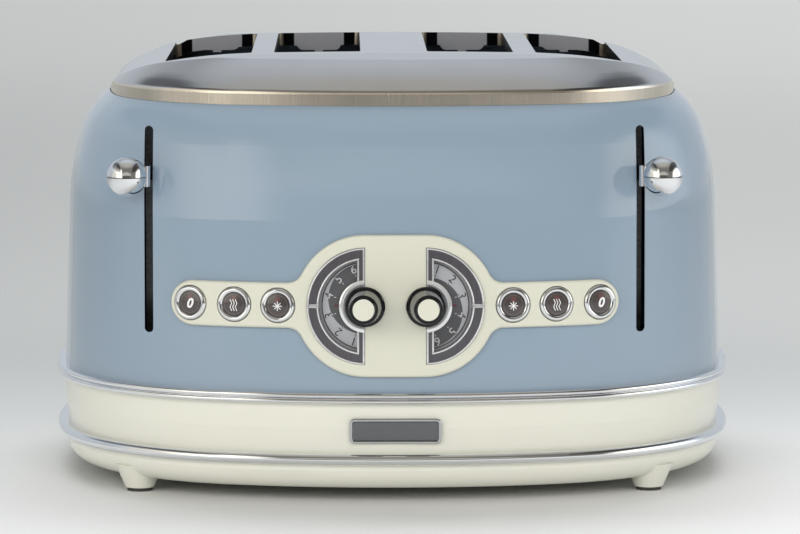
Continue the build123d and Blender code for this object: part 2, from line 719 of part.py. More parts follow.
def end_plate_face():
    """One end plate of the chambers, drawn flat: rack slits and guide holes."""
    height = Z_CHAMBER_TOP - Z_FLOOR
    face = Pos(0, Z_FLOOR + height / 2) * Rectangle(2 * CHAMBER_HALF_WIDTH, height)
    low = Z_RACK - LEVER_DOWN_TRAVEL - RACK_BAR_HEIGHT
    high = Z_RACK + LEVER_LIFT_TRAVEL + RACK_BAR_HEIGHT
    shoulder = Z_SHELF - SHELL_WALL - CHASSIS_SHEET
    corner = Rectangle(SHOULDER_NOTCH, Z_CHAMBER_TOP - shoulder)
    holes = []
    for side in (-1, 1):
        notch_x = side * (CHAMBER_HALF_WIDTH - SHOULDER_NOTCH / 2)
        holes.append(Pos(notch_x, (Z_CHAMBER_TOP + shoulder) / 2) * corner)
        for slot in SLOT_XS:
            slit = Rectangle(RACK_BAR_WIDTH + 2 * RACK_SLIT_GAP, high - low)
            holes.append(Pos(side * slot, (low + high) / 2) * slit)
            for level in guide_levels():
                holes.extend(guide_holes(side, slot, level))
    for hole in holes:
        face -= hole
    return face


def end_plate(y, face):
    """A flat end plate standing across the toaster, its front face at y."""
    plane = Plane(origin=(0, y + CHASSIS_SHEET, 0), x_dir=(1, 0, 0), z_dir=(0, -1, 0))
    return extrude(plane * face, CHASSIS_SHEET)


def front_end_plate():
    """Front plate of the chambers, with a bent tab that steadies each guide rod's top."""
    plate = end_plate(-CHAMBER_FRONT - CHASSIS_SHEET, end_plate_face())
    reach = ROD_Y + ROD_RADIUS + CHASSIS_SHEET
    level = Z_CHAMBER_TOP - 2 * CHASSIS_SHEET
    for side in (-1, 1):
        x = (side * ROD_X - BLOCK_RADIUS, side * ROD_X + BLOCK_RADIUS)
        plate += upright_box(x, (-reach, -CHAMBER_FRONT), (level - CHASSIS_SHEET, level))
    return plate - [guide_rod(side, SHAFT_FIT) for side in (-1, 1)]


def rear_end_plate():
    """Rear plate of the chambers, standing on three legs so that the crumb trays pass under it."""
    face = end_plate_face()
    low = Z_BAND + TRAY_CLEARANCE_UP
    for side in (-1, 1):
        width = TRAY_OUTER_X - TRAY_INNER_X + 2 * PLATE_LEG_GAP
        middle_x = side * (TRAY_OUTER_X + TRAY_INNER_X) / 2
        face -= Pos(middle_x, (Z_FLOOR + low) / 2) * Rectangle(width, low - Z_FLOOR)
    return end_plate(CHAMBER_REAR, face)


def heat_shields():
    """Steel sheets outside the outermost heaters, and a folded channel between the two inner ones."""
    low, high = card_levels()
    y = (-CHAMBER_FRONT, CHAMBER_REAR)
    solids = []
    for side in (-1, 1):
        x = sorted((side * SHIELD_X, side * (SHIELD_X + CARD_THICKNESS)))
        solids.append(upright_box(x, y, (low, high)))
    inner = CENTRE_SHIELD_HALF - CHASSIS_SHEET
    channel = upright_box((-CENTRE_SHIELD_HALF, CENTRE_SHIELD_HALF), y, (low, Z_CHAMBER_TOP))
    channel = channel - upright_box((-inner, inner), y, (low, Z_CHAMBER_TOP - CHASSIS_SHEET))
    return Compound([*solids, channel.solid()])


def card_levels():
    """Lower and upper edge of the mica cards."""
    return Z_FLOOR + CARD_BOTTOM_UP, Z_SHELF - CARD_TOP_DOWN


def mica_cards(side):
    """Three mica cards of one side, standing between the end plates."""
    half = CARD_THICKNESS / 2
    y = (-CHAMBER_FRONT, CHAMBER_REAR)
    return Compound([upright_box((side * x - half, side * x + half), y, card_levels()) for x in CARD_X])


def heating_ribbons(side):
    """Flat heating ribbon on both faces of each card: one unbroken strip that runs to and fro."""
    low, high = card_levels()
    reach = CHAMBER_HALF_LENGTH - RIBBON_MARGIN
    pitch = (high - low - 2 * RIBBON_MARGIN) / (RIBBON_RUNS - 1)
    points = []
    for run in range(RIBBON_RUNS):
        level = low + RIBBON_MARGIN + run * pitch
        ends = (-reach, reach) if run % 2 == 0 else (reach, -reach)
        points.extend((end, level) for end in ends)
    strip = trace(Polyline(*points), RIBBON_HEIGHT)
    solids = []
    for x in CARD_X:
        for way in (-1, 1):
            surface = side * x + way * CARD_THICKNESS / 2
            plane = Plane(origin=(surface, SLOT_SETBACK, 0), x_dir=(0, 1, 0), z_dir=(1, 0, 0))
            solids.append(extrude(plane * strip, way * RIBBON_THICKNESS))
    return Compound([solid.solid() for solid in solids])


def bread_guides(side, way):
    """Wire guides on one flank of both slots of a side. The near flank is way -1, the far flank is way 1."""
    reach = CHAMBER_HALF_LENGTH + CHASSIS_SHEET + GUIDE_BAR_OVERHANG
    front = SLOT_SETBACK - reach
    rear = SLOT_SETBACK + reach
    bottom, top = guide_levels()
    pitch = SLOT_LENGTH / GUIDE_WIRES
    solids = []
    for slot in SLOT_XS:
        x = side * (slot + way * GUIDE_OUT)
        pieces = [wire_bar((x, front, z), (x, rear, z), GUIDE_BAR_RADIUS) for z in (top, bottom)]
        for wire in range(GUIDE_WIRES):
            y = SLOT_SETBACK + (wire - (GUIDE_WIRES - 1) / 2) * pitch
            pieces.append(wire_bar((x, y, bottom), (x, y, top), GUIDE_WIRE_RADIUS))
        solids.append(fused(pieces).solid())
    return Compound(solids)


def guide_rod(side, grow):
    """Upright steel rod that a carriage slides on."""
    x = side * ROD_X
    return rod((x, -ROD_Y, Z_FLOOR), (x, -ROD_Y, Z_CHAMBER_TOP - CHASSIS_SHEET), ROD_RADIUS + grow)


def carriage_block(side):
    """Sliding block of a carriage, without its bore."""
    x = side * ROD_X
    half = BLOCK_HEIGHT / 2
    return rod((x, -ROD_Y, Z_LEVER - half), (x, -ROD_Y, Z_LEVER + half), BLOCK_RADIUS)


def bread_carriage(side):
    """Carriage of one side: block on the rod, upright plate, and a rack with cross wires under each slot."""
    back = -ROD_Y + BLOCK_RADIUS + CARRIAGE_PLATE_SET
    front = back - RACK_BAR_WIDTH
    half_bar = RACK_BAR_HEIGHT / 2
    top = Z_LEVER + BLOCK_HEIGHT / 2
    middle = side * (SLOT_INNER_X + SLOT_OUTER_X) / 2
    span = (SLOT_OUTER_X - SLOT_INNER_X) / 2 + CARRIAGE_PLATE_GAP
    low_x = (middle - span, middle + span)
    neck_x = (side * ROD_X - BLOCK_RADIUS, side * ROD_X + BLOCK_RADIUS)
    pieces = [carriage_block(side)]
    pieces.append(upright_box(neck_x, (front, back), (Z_RACK, top)))
    pieces.append(upright_box(low_x, (front, back), (Z_RACK - half_bar, Z_RACK + 2 * RACK_BAR_HEIGHT)))
    rear = CHAMBER_REAR + RACK_REAR_OVERHANG
    pitch = SLOT_LENGTH / RACK_WIRES
    for slot in SLOT_XS:
        x = side * slot
        bar_x = (x - RACK_BAR_WIDTH / 2, x + RACK_BAR_WIDTH / 2)
        pieces.append(upright_box(bar_x, (front, rear), (Z_RACK - half_bar, Z_RACK + half_bar)))
        for wire in range(RACK_WIRES):
            y = SLOT_SETBACK + (wire - (RACK_WIRES - 1) / 2) * pitch
            level = Z_RACK + half_bar - RACK_WIRE_RADIUS / 2
            ends = [(x - RACK_WIRE_HALF, y, level), (x + RACK_WIRE_HALF, y, level)]
            pieces.append(wire_bar(*ends, RACK_WIRE_RADIUS))
    return fused(pieces) - guide_rod(side, ROD_FIT)


def beside_corner(x, gap):
    """Y of a point at x that clears the drafted corner by a gap, all the way down a lever's travel."""
    lowest = (Z_LEVER - LEVER_DOWN_TRAVEL - Z_SHELL) * SHELL_DRAFT_IN / SHELL_DRAFT_UP
    distance = CORNER_RADIUS - lowest + gap
    return CORNER_Y - sqrt(distance**2 - (x - CORNER_X) ** 2)


def ball_centre(side):
    """Middle of a lever's ball."""
    x = LEVER_X + BALL_OUT
    return Vector(side * x, beside_corner(x, BALL_WALL_GAP + BALL_RADIUS), Z_LEVER)


def lever_arm(side):
    """Flat steel arm from the carriage block, along the front, out through the slit and round to the ball."""
    centre = ball_centre(1)
    path = FilletPolyline(
        (ROD_X + BLOCK_RADIUS / 2, -ROD_Y),
        (LEVER_X, -ROD_Y),
        (LEVER_X, beside_corner(LEVER_X, NECK_GAP)),
        (centre.X, centre.Y),
        radius=ARM_BEND,
    )
    strip = extrude(Pos(0, 0, Z_LEVER - ARM_HEIGHT / 2) * trace(path, ARM_THICKNESS), ARM_HEIGHT)
    strip = strip - carriage_block(1)
    return strip if side > 0 else mirror(strip, Plane.YZ)


def lever_ball(side):
    """Chrome ball in two halves with a seam between them, clamped on the arm's end."""
    centre = ball_centre(side)
    ball = Pos(*centre) * Sphere(BALL_RADIUS)
    seam = Cylinder(BALL_RADIUS + BALL_SEAM, BALL_SEAM) - Cylinder(BALL_RADIUS - BALL_SEAM, BALL_SEAM)
    seam = Pos(*centre) * seam
    ball = ball - seam - lever_arm(side)
    middle = Plane(centre)
    halves = [ball.split(middle, keep=keep).solid() for keep in (Keep.TOP, Keep.BOTTOM)]
    return Compound(halves)


def lift_spring(side):
    """Lift spring round the guide rod, below the carriage, drawn as a plain sleeve."""
    x = side * ROD_X
    top = Z_LEVER - BLOCK_HEIGHT / 2
    outer = rod((x, -ROD_Y, Z_FLOOR), (x, -ROD_Y, top), ROD_RADIUS + 2 * SPRING_WIRE)
    return outer - rod((x, -ROD_Y, Z_FLOOR), (x, -ROD_Y, top), ROD_RADIUS + SPRING_WIRE / 2)


def electromagnets():
    """Latch magnets on the chassis floor, just below where the carriages stop."""
    half = MAGNET_SIZE / 2
    top = Z_RACK - RACK_BAR_HEIGHT / 2 - LEVER_DOWN_TRAVEL - MAGNET_GAP
    solids = []
    for side in (-1, 1):
        x = (side * MAGNET_X - half, side * MAGNET_X + half)
        yoke = upright_box(x, (-ROD_Y - half / 2, -ROD_Y + half), (Z_FLOOR, top))
        window = upright_box(x, (-ROD_Y, -ROD_Y + half / 2), (Z_FLOOR + half / 2, top - half / 2))
        solids.append((yoke - window).solid())
    return Compound(solids)


def board_front():
    """Y of the control board's front, a set distance behind the wall at the last button."""
    return wall_plane(BUTTON_X[-1], Z_PANEL).origin.Y + BOARD_SETBACK


def wall_distance(x):
    """How far the control board's front lies behind the wall, along the outward line at x."""
    plane = wall_plane(x, Z_PANEL)
    return (board_front() - plane.origin.Y) / -plane.z_dir.Y


def board_posts():
    """Where the panel's posts meet the board: two beside the dials, one above and one below them."""
    beside = [(side * BOARD_POST_X, BOARD_POST_RISE) for side in (-1, 1)]
    return [*beside, (0, BOARD_POST_UP), (0, -BOARD_POST_UP)]


def control_board():
    """One board behind the panel, with a switch under each button."""
    front = board_front()
    pieces = [
        upright_box(
            (-BOARD_HALF_WIDTH, BOARD_HALF_WIDTH),
            (front, front + BOARD_THICKNESS),
            (Z_PANEL - BOARD_HALF_HEIGHT, Z_PANEL + BOARD_HALF_HEIGHT),
        )
    ]
    for side in (-1, 1):
        for x in BUTTON_X:
            depth = wall_distance(side * x)
            plane = wall_plane(side * x, Z_PANEL)
            start = plane.origin - plane.z_dir * (depth + BOARD_THICKNESS / 2)
            pieces.append(rod(start, plane.origin - plane.z_dir * (depth - SWITCH_LENGTH), SWITCH_RADIUS))
    return fused(pieces)


def timer_controls():
    """Rotary timer controls on the board, each with a bore that takes its knob's stem."""
    behind = upright_box((-HALF_WIDTH, HALF_WIDTH), (board_front(), 0), (0, Z_MOUTH))
    solids = []
    for side in (-1, 1):
        plane = wall_plane(side * DIAL_X, Z_PANEL)
        depth = wall_distance(side * DIAL_X)
        front = plane.origin - plane.z_dir * (depth - TIMER_LENGTH)
        back = plane.origin - plane.z_dir * (depth + TIMER_LENGTH / 2)
        body = rod(back, front, TIMER_RADIUS) - behind
        bore = rod(plane.origin - plane.z_dir * (depth - BOARD_THICKNESS), front, STEM_RADIUS + SHAFT_FIT)
        solids.append((body - bore).solid())
    return Compound(solids)


def half_disc(side, radius, edge):
    """The part of a disc that lies beyond an upright line, on one side."""
    return Circle(radius) & Pos(side * (edge + radius), 0) * Rectangle(2 * radius, 2 * radius + 1)


def cut_depth(plane, sketch, low, high):
    """Extrude a sketch between two distances in front of a plane."""
    return extrude(plane * Pos(0, 0, low) * sketch, high - low, dir=plane.z_dir)


def rounded_front(panel):
    """The panel with the rim of its front skin rounded over."""
    skin = [face for face in panel.faces() if face.geom_type == GeomType.CONE and face.normal_at().Y < -0.5]
    front = [face for face in skin if face.distance_to(Vector(0, -BODY_DEPTH, Z_PANEL)) < BODY_DEPTH / 2]
    edges = [edge for face in front for edge in face.edges()]
    rim = [edge for edge in edges if sum(edge.is_same(other) for other in edges) == 1]
    return fillet(rim, PANEL_BEVEL)


def control_panel():
    """Moulded panel over the front wall: raised rim, half-moon windows, button wells, sleeves and posts."""
    low = Z_PANEL - PANEL_RADIUS - PANEL_OVERLAP
    high = Z_PANEL + PANEL_RADIUS + PANEL_OVERLAP
    panel = draft_band(PANEL_PROUD, -PANEL_DEPTH, low, high) & through_front(panel_outline(0))
    panel = rounded_front(panel)
    hem = draft_band(PANEL_LIFT, -2 * PANEL_DEPTH, low, high)
    panel = panel - (hem - through_front(panel_outline(-PANEL_OVERLAP - PANEL_GAP)))
    front = board_front()
    extras = []
    cuts = []
    for x, up in board_posts():
        start = wall_plane(x, Z_PANEL).origin.Y + PANEL_DEPTH / 2
        extras.append(rod((x, start, Z_PANEL + up), (x, front, Z_PANEL + up), BOARD_POST_RADIUS))
    for side in (-1, 1):
        plane = wall_plane(side * DIAL_X, Z_PANEL)
        pocket = half_disc(side, DIAL_RADIUS + DIAL_CLEARANCE, DIAL_EDGE - DIAL_CLEARANCE)
        window = half_disc(side, DIAL_RADIUS - DIAL_LEDGE, DIAL_EDGE + DIAL_LEDGE)
        cuts.append(cut_depth(plane, pocket, -FACE_DEPTH, 2 * PANEL_PROUD))
        cuts.append(cut_depth(plane, window, -2 * PANEL_DEPTH, 0))
        cuts.append(cut_depth(plane, Circle(STEM_RADIUS + STEM_CLEARANCE), -2 * PANEL_DEPTH, 2 * PANEL_PROUD))
        for x in BUTTON_X:
            plane = wall_plane(side * x, Z_PANEL)
            bore = BUTTON_STEM_RADIUS + BUTTON_CLEARANCE
            sleeve = Circle(bore + BUTTON_SLEEVE_WALL)
            extras.append(cut_depth(plane, sleeve, -BUTTON_SLEEVE_DEPTH, -PANEL_DEPTH / 2))
            well = PANEL_PROUD + BUTTON_PROUD - BUTTON_HEAD - BUTTON_TRAVEL - BUTTON_CLEARANCE
            cuts.append(cut_depth(plane, Circle(BUTTON_RADIUS + BUTTON_CLEARANCE), well, 2 * PANEL_PROUD))
            cuts.append(cut_depth(plane, Circle(bore), -2 * BUTTON_SLEEVE_DEPTH, 0))
    return (panel.fuse(*extras) - cuts).clean()


def dial_bezel(side):
    """Half-moon bezel: brushed band with raised lips, an upright bar, and a collar half round the knob."""
    plane = wall_plane(side * DIAL_X, Z_PANEL)
    inner_radius = DIAL_RADIUS - BEZEL_BAND
    inner_edge = DIAL_EDGE + BEZEL_BAR
    stem = Circle(STEM_RADIUS + STEM_CLEARANCE)
    whole = half_disc(side, DIAL_RADIUS, DIAL_EDGE)
    collar = half_disc(side, COLLAR_RADIUS, DIAL_EDGE)
    opening = half_disc(side, inner_radius, inner_edge) - collar
    band = whole - opening - stem
    outer_lip = whole - half_disc(side, DIAL_RADIUS - BEZEL_LIP_WIDTH, DIAL_EDGE + BEZEL_LIP_WIDTH)
    inner_lip = half_disc(side, inner_radius + BEZEL_LIP_WIDTH, inner_edge - BEZEL_LIP_WIDTH) - opening
    inner_lip = inner_lip - half_disc(side, COLLAR_RADIUS - BEZEL_LIP_WIDTH, DIAL_EDGE)
    collar_lip = collar - Circle(KNOB_BASE_RADIUS + BEZEL_LIP_WIDTH)
    raised = outer_lip + inner_lip + collar_lip - stem
    back = -FACE_DEPTH + FACE_THICKNESS
    frame = cut_depth(plane, band, back, BEZEL_PROUD)
    lips = cut_depth(plane, raised, back, BEZEL_PROUD + BEZEL_LIP)
    split = Pos(side * DIAL_RADIUS, 0) * Rectangle(2 * BEZEL_BAND, BEZEL_SPLIT)
    groove = cut_depth(plane, split, BEZEL_PROUD - BEZEL_LIP, 2 * BEZEL_PROUD)
    return (frame.fuse(lips) - groove).clean()


def dial_face(side):
    """Flat scale plate behind the bezel."""
    plane = wall_plane(side * DIAL_X, Z_PANEL)
    scale = half_disc(side, DIAL_RADIUS, DIAL_EDGE) - Circle(STEM_RADIUS + STEM_CLEARANCE)
    return cut_depth(plane, scale, -FACE_DEPTH, -FACE_DEPTH + FACE_THICKNESS)


def turned(side, x, profile):
    """A turned piece about the outward line at a place on the panel. Its profile is radius and distance."""
    plane = wall_plane(side * x, Z_PANEL)
    return plane * revolve(Plane.XZ * profile, Axis.Z)


def dome(radius, low, high):
    """Arc of a dome in a turned profile, from its rim in to the axis. Its centre lies on the axis."""
    centre = (high**2 - low**2 - radius**2) / (2 * (high - low))
    half_turn = atan2(radius, low - centre) / 2
    reach = high - centre
    return ThreePointArc((radius, low), (reach * sin(half_turn), centre + reach * cos(half_turn)), (0, high))


def knob_levels():
    """Back and tip of a knob, in front of the wall."""
    back = BEZEL_PROUD + BEZEL_LIP + KNOB_GAP
    return back, back + KNOB_LENGTH


def knob(side):
    """Turned knob: skirt, waist, tapered barrel with a rounded tip, a seat for the cap, and the stem."""
    back, tip = knob_levels()
    end = -(wall_distance(side * DIAL_X) - 2 * BOARD_THICKNESS)
    skirt_top = back + KNOB_SKIRT
    skirt = [(KNOB_BASE_RADIUS, skirt_top - KNOB_EDGE), (KNOB_BASE_RADIUS - KNOB_EDGE, skirt_top)]
    waist = (KNOB_BASE_RADIUS - KNOB_WAIST_IN, skirt_top)
    edge = (KNOB_TIP_RADIUS, tip)
    seat = tip - CAP_SEAT
    stem = [(0, end), (STEM_RADIUS, end), (STEM_RADIUS, back), (KNOB_BASE_RADIUS, back)]
    profile = polygon_profile(*stem, *skirt, waist, edge, (CAP_RADIUS, tip), (CAP_RADIUS, seat), (0, seat))
    return turned(side, DIAL_X, rounded(profile, KNOB_EDGE, edge))


def knob_cap(side):
    """Cream disc in the knob's tip, slightly domed."""
    tip = knob_levels()[1]
    front = tip + CAP_PROUD
    shoulder = CAP_RADIUS - CAP_PROUD
    profile = closed_profile(
        Polyline((0, tip - CAP_SEAT), (CAP_RADIUS, tip - CAP_SEAT), (CAP_RADIUS, tip), (shoulder, front)),
        dome(shoulder, front, front + CAP_DOME),
        Line((0, front + CAP_DOME), (0, tip - CAP_SEAT)),
    )
    return turned(side, DIAL_X, profile)


def button(side, x):
    """Push button: a half-round chrome ring, a seat for the lens, and a stem that reaches for the switch."""
    front = PANEL_PROUD + BUTTON_PROUD
    back = front - BUTTON_HEAD
    end = -(wall_distance(side * x) - SWITCH_LENGTH - SWITCH_GAP - BUTTON_TRAVEL)
    seat = front - LENS_SINK - LENS_DEPTH
    shoulder = front - BUTTON_ROLL
    middle = (BUTTON_RADIUS + LENS_RADIUS) / 2
    profile = closed_profile(
        Polyline((0, end), (BUTTON_STEM_RADIUS, end), (BUTTON_STEM_RADIUS, back), (BUTTON_RADIUS, back)),
        Line((BUTTON_RADIUS, back), (BUTTON_RADIUS, shoulder)),
        ThreePointArc((BUTTON_RADIUS, shoulder), (middle, front), (LENS_RADIUS, shoulder)),
        Polyline((LENS_RADIUS, shoulder), (LENS_RADIUS, seat), (0, seat), (0, end)),
    )
    return turned(side, x, profile)


def button_lens(side, x):
    """Round lens in a button's ring, a little domed."""
    top = PANEL_PROUD + BUTTON_PROUD - LENS_SINK
    profile = closed_profile(
        Polyline((0, top - LENS_DEPTH), (LENS_RADIUS, top - LENS_DEPTH), (LENS_RADIUS, top - LENS_DOME)),
        dome(LENS_RADIUS, top - LENS_DOME, top + LENS_DOME),
        Line((0, top + LENS_DOME), (0, top - LENS_DEPTH)),
    )
    return turned(side, x, profile)


def crumb_tray(side):
    """Folded crumb tray that slides out at the rear, its end shaped to the door."""
    low = Z_FLOOR + TRAY_LIFT
    reach = -PLASTIC_WALL - BAND_TAPER
    outer_x = sorted((side * TRAY_INNER_X, side * TRAY_OUTER_X))
    inner_x = (outer_x[0] + TRAY_SHEET, outer_x[1] - TRAY_SHEET)
    high = low + TRAY_DEPTH
    outside = upright_box(outer_x, (-TRAY_FRONT, BODY_DEPTH), (low, high))
    inside = upright_box(inner_x, (-TRAY_FRONT + TRAY_SHEET, BODY_DEPTH), (low + TRAY_SHEET, high))
    outside = outside & plan_block(reach, low, high)
    return outside - (inside & plan_block(reach - TRAY_SHEET, low, high))


def crumb_tray_door(side):
    """Door of a crumb tray, a piece of the band's curve with a pull along its foot."""
    middle = Z_BAND + BAND_HEIGHT / 2
    wall = around(
        polygon_profile(
            (-BAND_TAPER, Z_BAND),
            (0, middle),
            (0, Z_UPPER_RING),
            (-PLASTIC_WALL - BAND_TAPER, Z_UPPER_RING),
            (-PLASTIC_WALL - BAND_TAPER, Z_BAND),
        )
    )
    low = Z_BAND + TRAY_DOOR_UP + TRAY_PULL_HEIGHT
    pull = around(
        polygon_profile(
            (-PLASTIC_WALL, low),
            (TRAY_PULL_PROUD, low),
            (TRAY_PULL_PROUD, low + TRAY_PULL_HEIGHT),
            (-PLASTIC_WALL, low + 2 * TRAY_PULL_HEIGHT),
        )
    )
    centre_x = side * (TRAY_INNER_X + TRAY_OUTER_X) / 2
    pull_x = (centre_x - TRAY_PULL_HALF, centre_x + TRAY_PULL_HALF)
    span = upright_box(pull_x, (0, BODY_DEPTH), (Z_BAND, Z_UPPER_RING))
    door = wall & tray_opening(side, 0, Z_BAND + TRAY_DOOR_UP)
    return door.fuse(pull & span).clean()


def cable_gland():
    """Gland for the supply cord at the rear: flange outside, nut inside, tapered nose and a bore."""
    wall = PLASTIC_WALL + BAND_TAPER + GLAND_PROUD
    nut_end = -wall - GLAND_FLANGE
    nut = [(GLAND_BORE, nut_end), (GLAND_RADIUS, nut_end), (GLAND_RADIUS, -wall), (GLAND_NOSE_RADIUS, -wall)]
    flange = [(GLAND_NOSE_RADIUS, 0), (GLAND_RADIUS, 0), (GLAND_RADIUS, GLAND_FLANGE)]
    nose = [(GLAND_NOSE_RADIUS, GLAND_FLANGE), (GLAND_TIP_RADIUS, GLAND_NOSE), (GLAND_BORE, GLAND_NOSE)]
    profile = polygon_profile(*nut, *flange, *nose)
    plane = Plane(origin=(0, HALF_DEPTH + GLAND_PROUD, Z_BAND + GLAND_UP), x_dir=(-1, 0, 0), z_dir=(0, 1, 0))
    return plane * revolve(Plane.XZ * profile, Axis.Z)


def terminal_block():
    """Mains terminal block on the chassis floor, ahead of the gland."""
    half = TERMINAL_SIZE[0] / 2
    y = (TERMINAL_Y - TERMINAL_SIZE[1] / 2, TERMINAL_Y + TERMINAL_SIZE[1] / 2)
    return upright_box((-half, half), y, (Z_FLOOR, Z_FLOOR + TERMINAL_SIZE[2]))


def side_name(side):
    """Name of a side as seen from the front."""
    return "right" if side > 0 else "left"


def all_parts():
    """Every sub-part of the toaster, by node name."""
    parts = {
        "base_tray": base_tray(),
        "feet": feet(),
        "foot_pads": foot_pads(),
        "base_screws": base_screws(),
        "lower_chrome_ring": lower_chrome_ring(),
        "skirt_band": skirt_band(),
        "upper_chrome_ring": upper_chrome_ring(),
        "outer_shell": outer_shell(),
        "top_plate": top_plate(),
        "chassis_floor": chassis_floor(),
        "front_end_plate": front_end_plate(),
        "rear_end_plate": rear_end_plate(),
        "heat_shields": heat_shields(),
        "control_panel": control_panel(),
        "control_board": control_board(),
        "timer_controls": timer_controls(),
        "electromagnets": electromagnets(),
        "guide_rods": Compound([guide_rod(side, 0) for side in (-1, 1)]),
        "cable_gland": cable_gland(),
        "terminal_block": terminal_block(),
    }
    for side in (-1, 1):
        end = side_name(side)
        parts["mica_cards_" + end] = mica_cards(side)
        parts["heating_ribbons_" + end] = heating_ribbons(side)
        parts["near_bread_guides_" + end] = bread_guides(side, -1)
        parts["far_bread_guides_" + end] = bread_guides(side, 1)
        parts["bread_carriage_" + end] = bread_carriage(side)
        parts["lever_arm_" + end] = lever_arm(side)
        parts["lever_ball_" + end] = lever_ball(side)
        parts["lift_spring_" + end] = lift_spring(side)
        parts["dial_bezel_" + end] = dial_bezel(side)
        parts["dial_face_" + end] = dial_face(side)
        parts["browning_knob_" + end] = knob(side)
        parts["knob_cap_" + end] = knob_cap(side)
        parts["crumb_tray_" + end] = crumb_tray(side)
        parts["crumb_tray_door_" + end] = crumb_tray_door(side)
        for name, x in zip(("defrost", "reheat", "cancel"), BUTTON_X):
            parts[name + "_button_" + end] = button(side, x)
            parts[name + "_lens_" + end] = button_lens(side, x)
    return parts


def write_parts(parts):
    """Write each sub-part, with the origin below the middle of the whole toaster's box."""
    boxes = [part.bounding_box() for part in parts.values()]
    front = min(box.min.Y for box in boxes)
    rear = max(box.max.Y for box in boxes)
    to_origin = Location((0, -(front + rear) / 2, 0))
    for name, part in parts.items():
        export_step(to_origin * part, "parts/" + name + ".step")
    print("nodes", len(parts), "origin moved", round(-(front + rear) / 2, 4))


write_parts(all_parts())
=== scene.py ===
import json
from math import cos, pi, radians, sin

import bpy
from mathutils import Matrix, Vector


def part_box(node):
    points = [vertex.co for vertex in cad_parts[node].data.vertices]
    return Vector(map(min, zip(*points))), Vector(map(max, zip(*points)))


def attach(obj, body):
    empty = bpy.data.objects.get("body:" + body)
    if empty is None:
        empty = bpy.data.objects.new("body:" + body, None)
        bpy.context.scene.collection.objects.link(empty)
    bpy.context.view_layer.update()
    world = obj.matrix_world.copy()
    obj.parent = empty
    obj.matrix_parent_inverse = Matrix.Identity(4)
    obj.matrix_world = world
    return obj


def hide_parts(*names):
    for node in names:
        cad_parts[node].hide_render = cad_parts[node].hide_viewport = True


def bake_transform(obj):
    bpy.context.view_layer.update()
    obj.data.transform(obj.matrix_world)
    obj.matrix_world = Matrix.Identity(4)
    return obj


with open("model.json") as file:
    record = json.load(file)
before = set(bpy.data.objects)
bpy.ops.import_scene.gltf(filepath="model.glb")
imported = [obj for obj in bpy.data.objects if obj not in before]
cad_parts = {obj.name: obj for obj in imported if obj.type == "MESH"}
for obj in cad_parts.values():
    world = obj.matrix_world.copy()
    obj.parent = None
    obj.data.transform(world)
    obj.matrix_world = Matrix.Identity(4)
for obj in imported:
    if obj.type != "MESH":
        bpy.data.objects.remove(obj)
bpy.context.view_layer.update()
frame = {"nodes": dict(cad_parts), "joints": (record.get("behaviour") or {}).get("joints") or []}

# Camera: it stands a little above the toaster, two metres in front of it and a touch to the left, as
# the photograph was taken.
CAMERA_PLACE = (-0.0220, -2.1123, 0.3254)
CAMERA_DROP = radians(6.366)
CAMERA_TURN = radians(0.693)
CAMERA_LENS = 206.6
CAMERA_SENSOR = 36
CAMERA_REACH = 50
bpy.ops.object.select_all(action="DESELECT")
bpy.ops.object.camera_add(location=CAMERA_PLACE, rotation=(pi / 2 - CAMERA_DROP, 0, -CAMERA_TURN))
camera = bpy.context.object
camera.data.lens = CAMERA_LENS
camera.data.sensor_width = CAMERA_SENSOR
camera.data.clip_end = CAMERA_REACH
bpy.context.scene.camera = camera
bpy.context.scene.view_settings.view_transform = "Standard"

# Floor: pale matt paper that runs back out of view. Painted shade leaves it palest in front of the
# toaster, greyer behind it, to the left and far off towards the camera, and a painted glow lightens it a
# long way back.
FLOOR_SIZE = 24.0
FLOOR_MOTTLE = 0.06
PAINTED_FLOOR_GLOW = 0.22
GREYER_TO_BACK = (-0.25, 0.40)
PALER_FAR_BACK = (0.9, 3.0)
DIM_AT_CAMERA = (-1.4, -0.75)
DIMMER_TO_LEFT = (-0.6, 0.6)
PAINTED_GLOW_FAR_BACK = (0.5, 4.0)


class Reading:
    """A number or colour that changes over a surface. Sums on it are written as Python sums."""

    def __init__(self, finish, socket):
        self.finish = finish
        self.socket = socket

    def reckon(self, operation, first, second):
        return self.finish.node("Math", {"operation": operation}, {0: first, 1: second})

    def __add__(self, other):
        return self.reckon("ADD", self, other)

    def __sub__(self, other):
        return self.reckon("SUBTRACT", self, other)

    def __mul__(self, other):
        return self.reckon("MULTIPLY", self, other)

    def __truediv__(self, other):
        return self.reckon("DIVIDE", self, other)

    def __pow__(self, other):
        return self.reckon("POWER", self, other)

    def __rsub__(self, other):
        return self.reckon("SUBTRACT", other, self)

    __radd__ = __add__
    __rmul__ = __mul__

    def __abs__(self):
        return self.reckon("ABSOLUTE", self, 0.0)

    def least(self, other):
        """The smaller of two readings."""
        return self.reckon("MINIMUM", self, other)

    def step(self, low, high, start=0.0, end=1.0):
        """Ease from start to end while the reading goes from low to high."""
        settings = {"interpolation_type": "SMOOTHSTEP"}
        return self.finish.node("MapRange", settings, {0: self, 1: low, 2: high, 3: start, 4: end})

    def fade(self, low, high):
        """Ease from one to nothing while the reading goes from low to high."""
        return self.step(low, high, 1.0, 0.0)

    def past(self, edge, soft):
        """Nothing before an edge and one past it, eased over a little to each side."""
        return self.step(edge - soft, edge + soft)

    def within(self, middle, half, soft):
        """One within a half width of a middle value, and nothing outside it."""
        return 1 - abs(self - middle).past(half, soft)

    def hump(self, middle, half):
        """A round hump from nothing up to one and back, a half width to each side of a middle value."""
        off = (self - middle) / half
        return self.reckon("MAXIMUM", 1 - off * off, 0.0)


